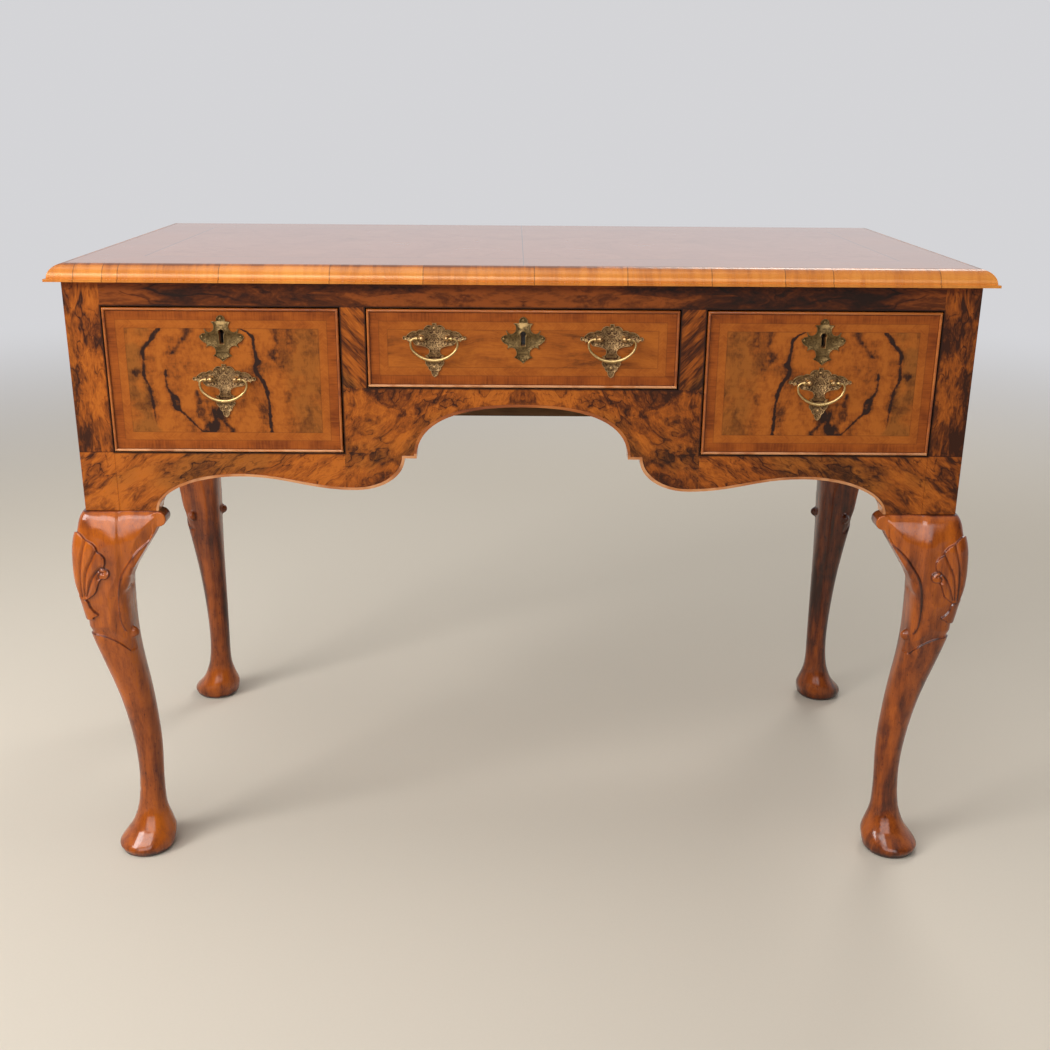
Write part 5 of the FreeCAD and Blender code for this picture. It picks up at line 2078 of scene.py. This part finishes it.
    def _bail_line(self, half: float, drop: float) -> list[Point2]:
        """The middle line of a bail, from its right pin to its left one.

        Args:
            half: Half its width.
            drop: How far it hangs down.

        Returns:
            X and Z of its points, from the middle between its pins.
        """
        elbow = self.elbow
        rise = drop - elbow
        haunch = self.haunch * rise
        crown = ((half - haunch) ** 2 + rise ** 2 - haunch ** 2) / (2.0 * (rise - haunch))
        lean = math.atan2(drop - elbow - crown, half - haunch)
        start = self.post - self.grip
        run = half - elbow - self.post + self.grip
        right = [(start + step * run / self.pin_steps, 0.0) for step in range(self.pin_steps)]
        right += arc((half - elbow, -elbow), elbow, math.pi / 2.0, 0.0, 8)
        right += arc((half - haunch, -elbow), haunch, 0.0, lean, 14)[1:]
        bow = arc((0.0, crown - drop), crown, lean, -math.pi - lean, 28)[1:-1]
        return right + bow + [(-x, z) for x, z in reversed(right)]

    def _bail_radius(self, x: float, z: float, drop: float) -> float:
        """The radius of a bail, which swells downwards and has a collar on each pin.

        Args:
            x, z: A point of its middle line.
            drop: How far it hangs down.

        Returns:
            The radius there.
        """
        thin, thick = self.bail_radii
        if z == 0.0:
            place, width, height = self.collar
            return thin + height * math.sqrt(max(0.0, 1.0 - ((abs(x) - place) / width) ** 2))
        return thin + (thick - thin) * max(0.0, -z / drop) ** 3


@dataclass
class Studio:
    """The floor, the light and the camera.

    Attributes:
        eye: Where the camera stands, in metres.
        yaw, pitch, roll: How it is turned, in degrees.
        focal: Its focal length, in widths of the picture.
        rise: How far the picture is shifted up, in widths of the picture.
        wall: The colour of the room that is seen and mirrored.
        dusk: Its colour in mirrors that face the front.
        pane: The window in those mirrors.
        pane_x, pane_z: Where its edges rise and fall, across and up.
        sky: The colour of the light from all round.
        glow: The strength of that light.
        lamps: Name, place, size and power in watts of each lamp.
        aim: What the lamps are turned to.
        reach: How far the floor reaches.
    """

    eye: Point3 = (-0.0110, -1.6877, 0.9314)
    yaw: float = 0.595
    pitch: float = -18.955
    roll: float = 0.466
    focal: float = 1263.55 / 1050
    rise: float = 15 / 1050
    wall: Colour = (0.66, 0.66, 0.68)
    dusk: Colour = (0.12, 0.11, 0.10)
    pane: Colour = (4.0, 4.0, 4.1)
    pane_x: tuple[Point2, Point2] = ((-0.55, -0.42), (0.38, 0.28))
    pane_z: tuple[Point2, Point2] = ((0.12, 0.20), (0.56, 0.46))
    sky: Colour = (0.97, 0.98, 1.0)
    glow: float = 0.27
    lamps: tuple[tuple[str, Point3, Point2, float], ...] = (
        ("key", (-2.1, -1.5, 1.7), (1.0, 1.0), 43.0),
        ("window", (-0.9, -2.5, 2.1), (2.2, 0.6), 27.0),
        ("above", (-0.4, -0.5, 3.0), (2.0, 1.6), 18.0),
        ("rear", (1.2, 2.3, 3.2), (1.4, 1.0), 36.0),
    )
    aim: Point3 = (0.0, 0.0, 0.45)
    reach: float = 9.0

    def build(self) -> None:
        """Makes the studio."""
        self._floor()
        self._room()
        for lamp in self.lamps:
            self._lamp(*lamp)
        self._camera()

    def _floor(self) -> None:
        """A wide pale floor."""
        mesh = bpy.data.meshes.new("floor")
        ways = ((-1.0, -1.0), (1.0, -1.0), (1.0, 1.0), (-1.0, 1.0))
        mesh.from_pydata([(x * self.reach, y * self.reach, 0.0) for x, y in ways], [], [(0, 1, 2, 3)])
        floor = bpy.data.objects.new("floor", mesh)
        bpy.context.scene.collection.objects.link(floor)
        mesh.materials.append(PaleGround(self.wall).material())

    def _room(self) -> None:
        """A pale room: soft light from all round, and a plain wall where it is seen or mirrored."""
        world = bpy.data.worlds.new("room")
        bpy.context.scene.world = world
        world.use_nodes = True
        room = Surface("room", world.node_tree)
        x, y, z = room.axes(room.node("ShaderNodeTexCoord", output="Generated"))
        glossy = room.node("ShaderNodeLightPath", output="Is Glossy Ray")
        front = y.step(0.2, -0.5) * z.step(0.75, 0.45) * glossy
        tint = room.mix(front, self.wall, self.dusk)
        pane = x.step(*self.pane_x[0]) * x.step(*self.pane_x[1]) * (y < 0.0)
        pane = pane * z.step(*self.pane_z[0]) * z.step(*self.pane_z[1]) * glossy
        tint = room.mix(pane, tint, self.pane)
        light = room.node("ShaderNodeBackground", None, {"Color": self.sky, "Strength": self.glow})
        wall = room.node("ShaderNodeBackground", None, {"Color": tint, "Strength": 1.0})
        shader = room.node("ShaderNodeMixShader", None, {0: room.seen(), 1: light, 2: wall})
        room.node("ShaderNodeOutputWorld", None, {"Surface": shader})

    def _lamp(self, name: str, place: Point3, size: Point2, power: float) -> None:
        """One soft lamp turned to the lowboy.

        Args:
            name: Its name.
            place: Where it hangs.
            size: How wide and high it is.
            power: Its power, in watts.
        """
        lamp = bpy.data.lights.new(name, "AREA")
        lamp.shape = "RECTANGLE"
        lamp.size, lamp.size_y = size
        lamp.energy = power
        thing = bpy.data.objects.new(name, lamp)
        thing.location = place
        aim = Vector(self.aim) - Vector(place)
        thing.rotation_euler = aim.to_track_quat("-Z", "Y").to_euler()
        bpy.context.scene.collection.objects.link(thing)

    def _camera(self) -> None:
        """The camera, at the photograph's viewing angle."""
        yaw, pitch, roll = (math.radians(a) for a in (self.yaw, self.pitch, self.roll))
        ahead = Vector((math.sin(yaw) * math.cos(pitch), math.cos(yaw) * math.cos(pitch), math.sin(pitch)))
        right = Vector((math.cos(yaw), -math.sin(yaw), 0.0))
        up = right.cross(ahead)
        cos, sin = math.cos(roll), math.sin(roll)
        right, up = cos * right + sin * up, cos * up - sin * right
        lens = bpy.data.cameras.new("camera")
        lens.sensor_width = 36.0
        lens.lens = self.focal * lens.sensor_width
        lens.shift_y = self.rise
        camera = bpy.data.objects.new("camera", lens)
        turn = Matrix((right, up, -ahead)).transposed().to_4x4()
        camera.matrix_world = Matrix.Translation(self.eye) @ turn
        bpy.context.scene.collection.objects.link(camera)
        bpy.context.scene.camera = camera


def main() -> None:
    """Builds the lowboy's looks in order."""
    logging.basicConfig(level=logging.INFO, format="%(message)s")
    bpy.context.scene.view_settings.view_transform = "Standard"
    Studio().build()
    Carcass().build()
    TableTop().build()
    Drawer("left", Side.LEFT, True).build()
    Drawer("right", Side.RIGHT, True).build()
    Drawer("centre", Side.LEFT, False, ("_left", "_right")).build()


if __name__ == "__main__":
    main()
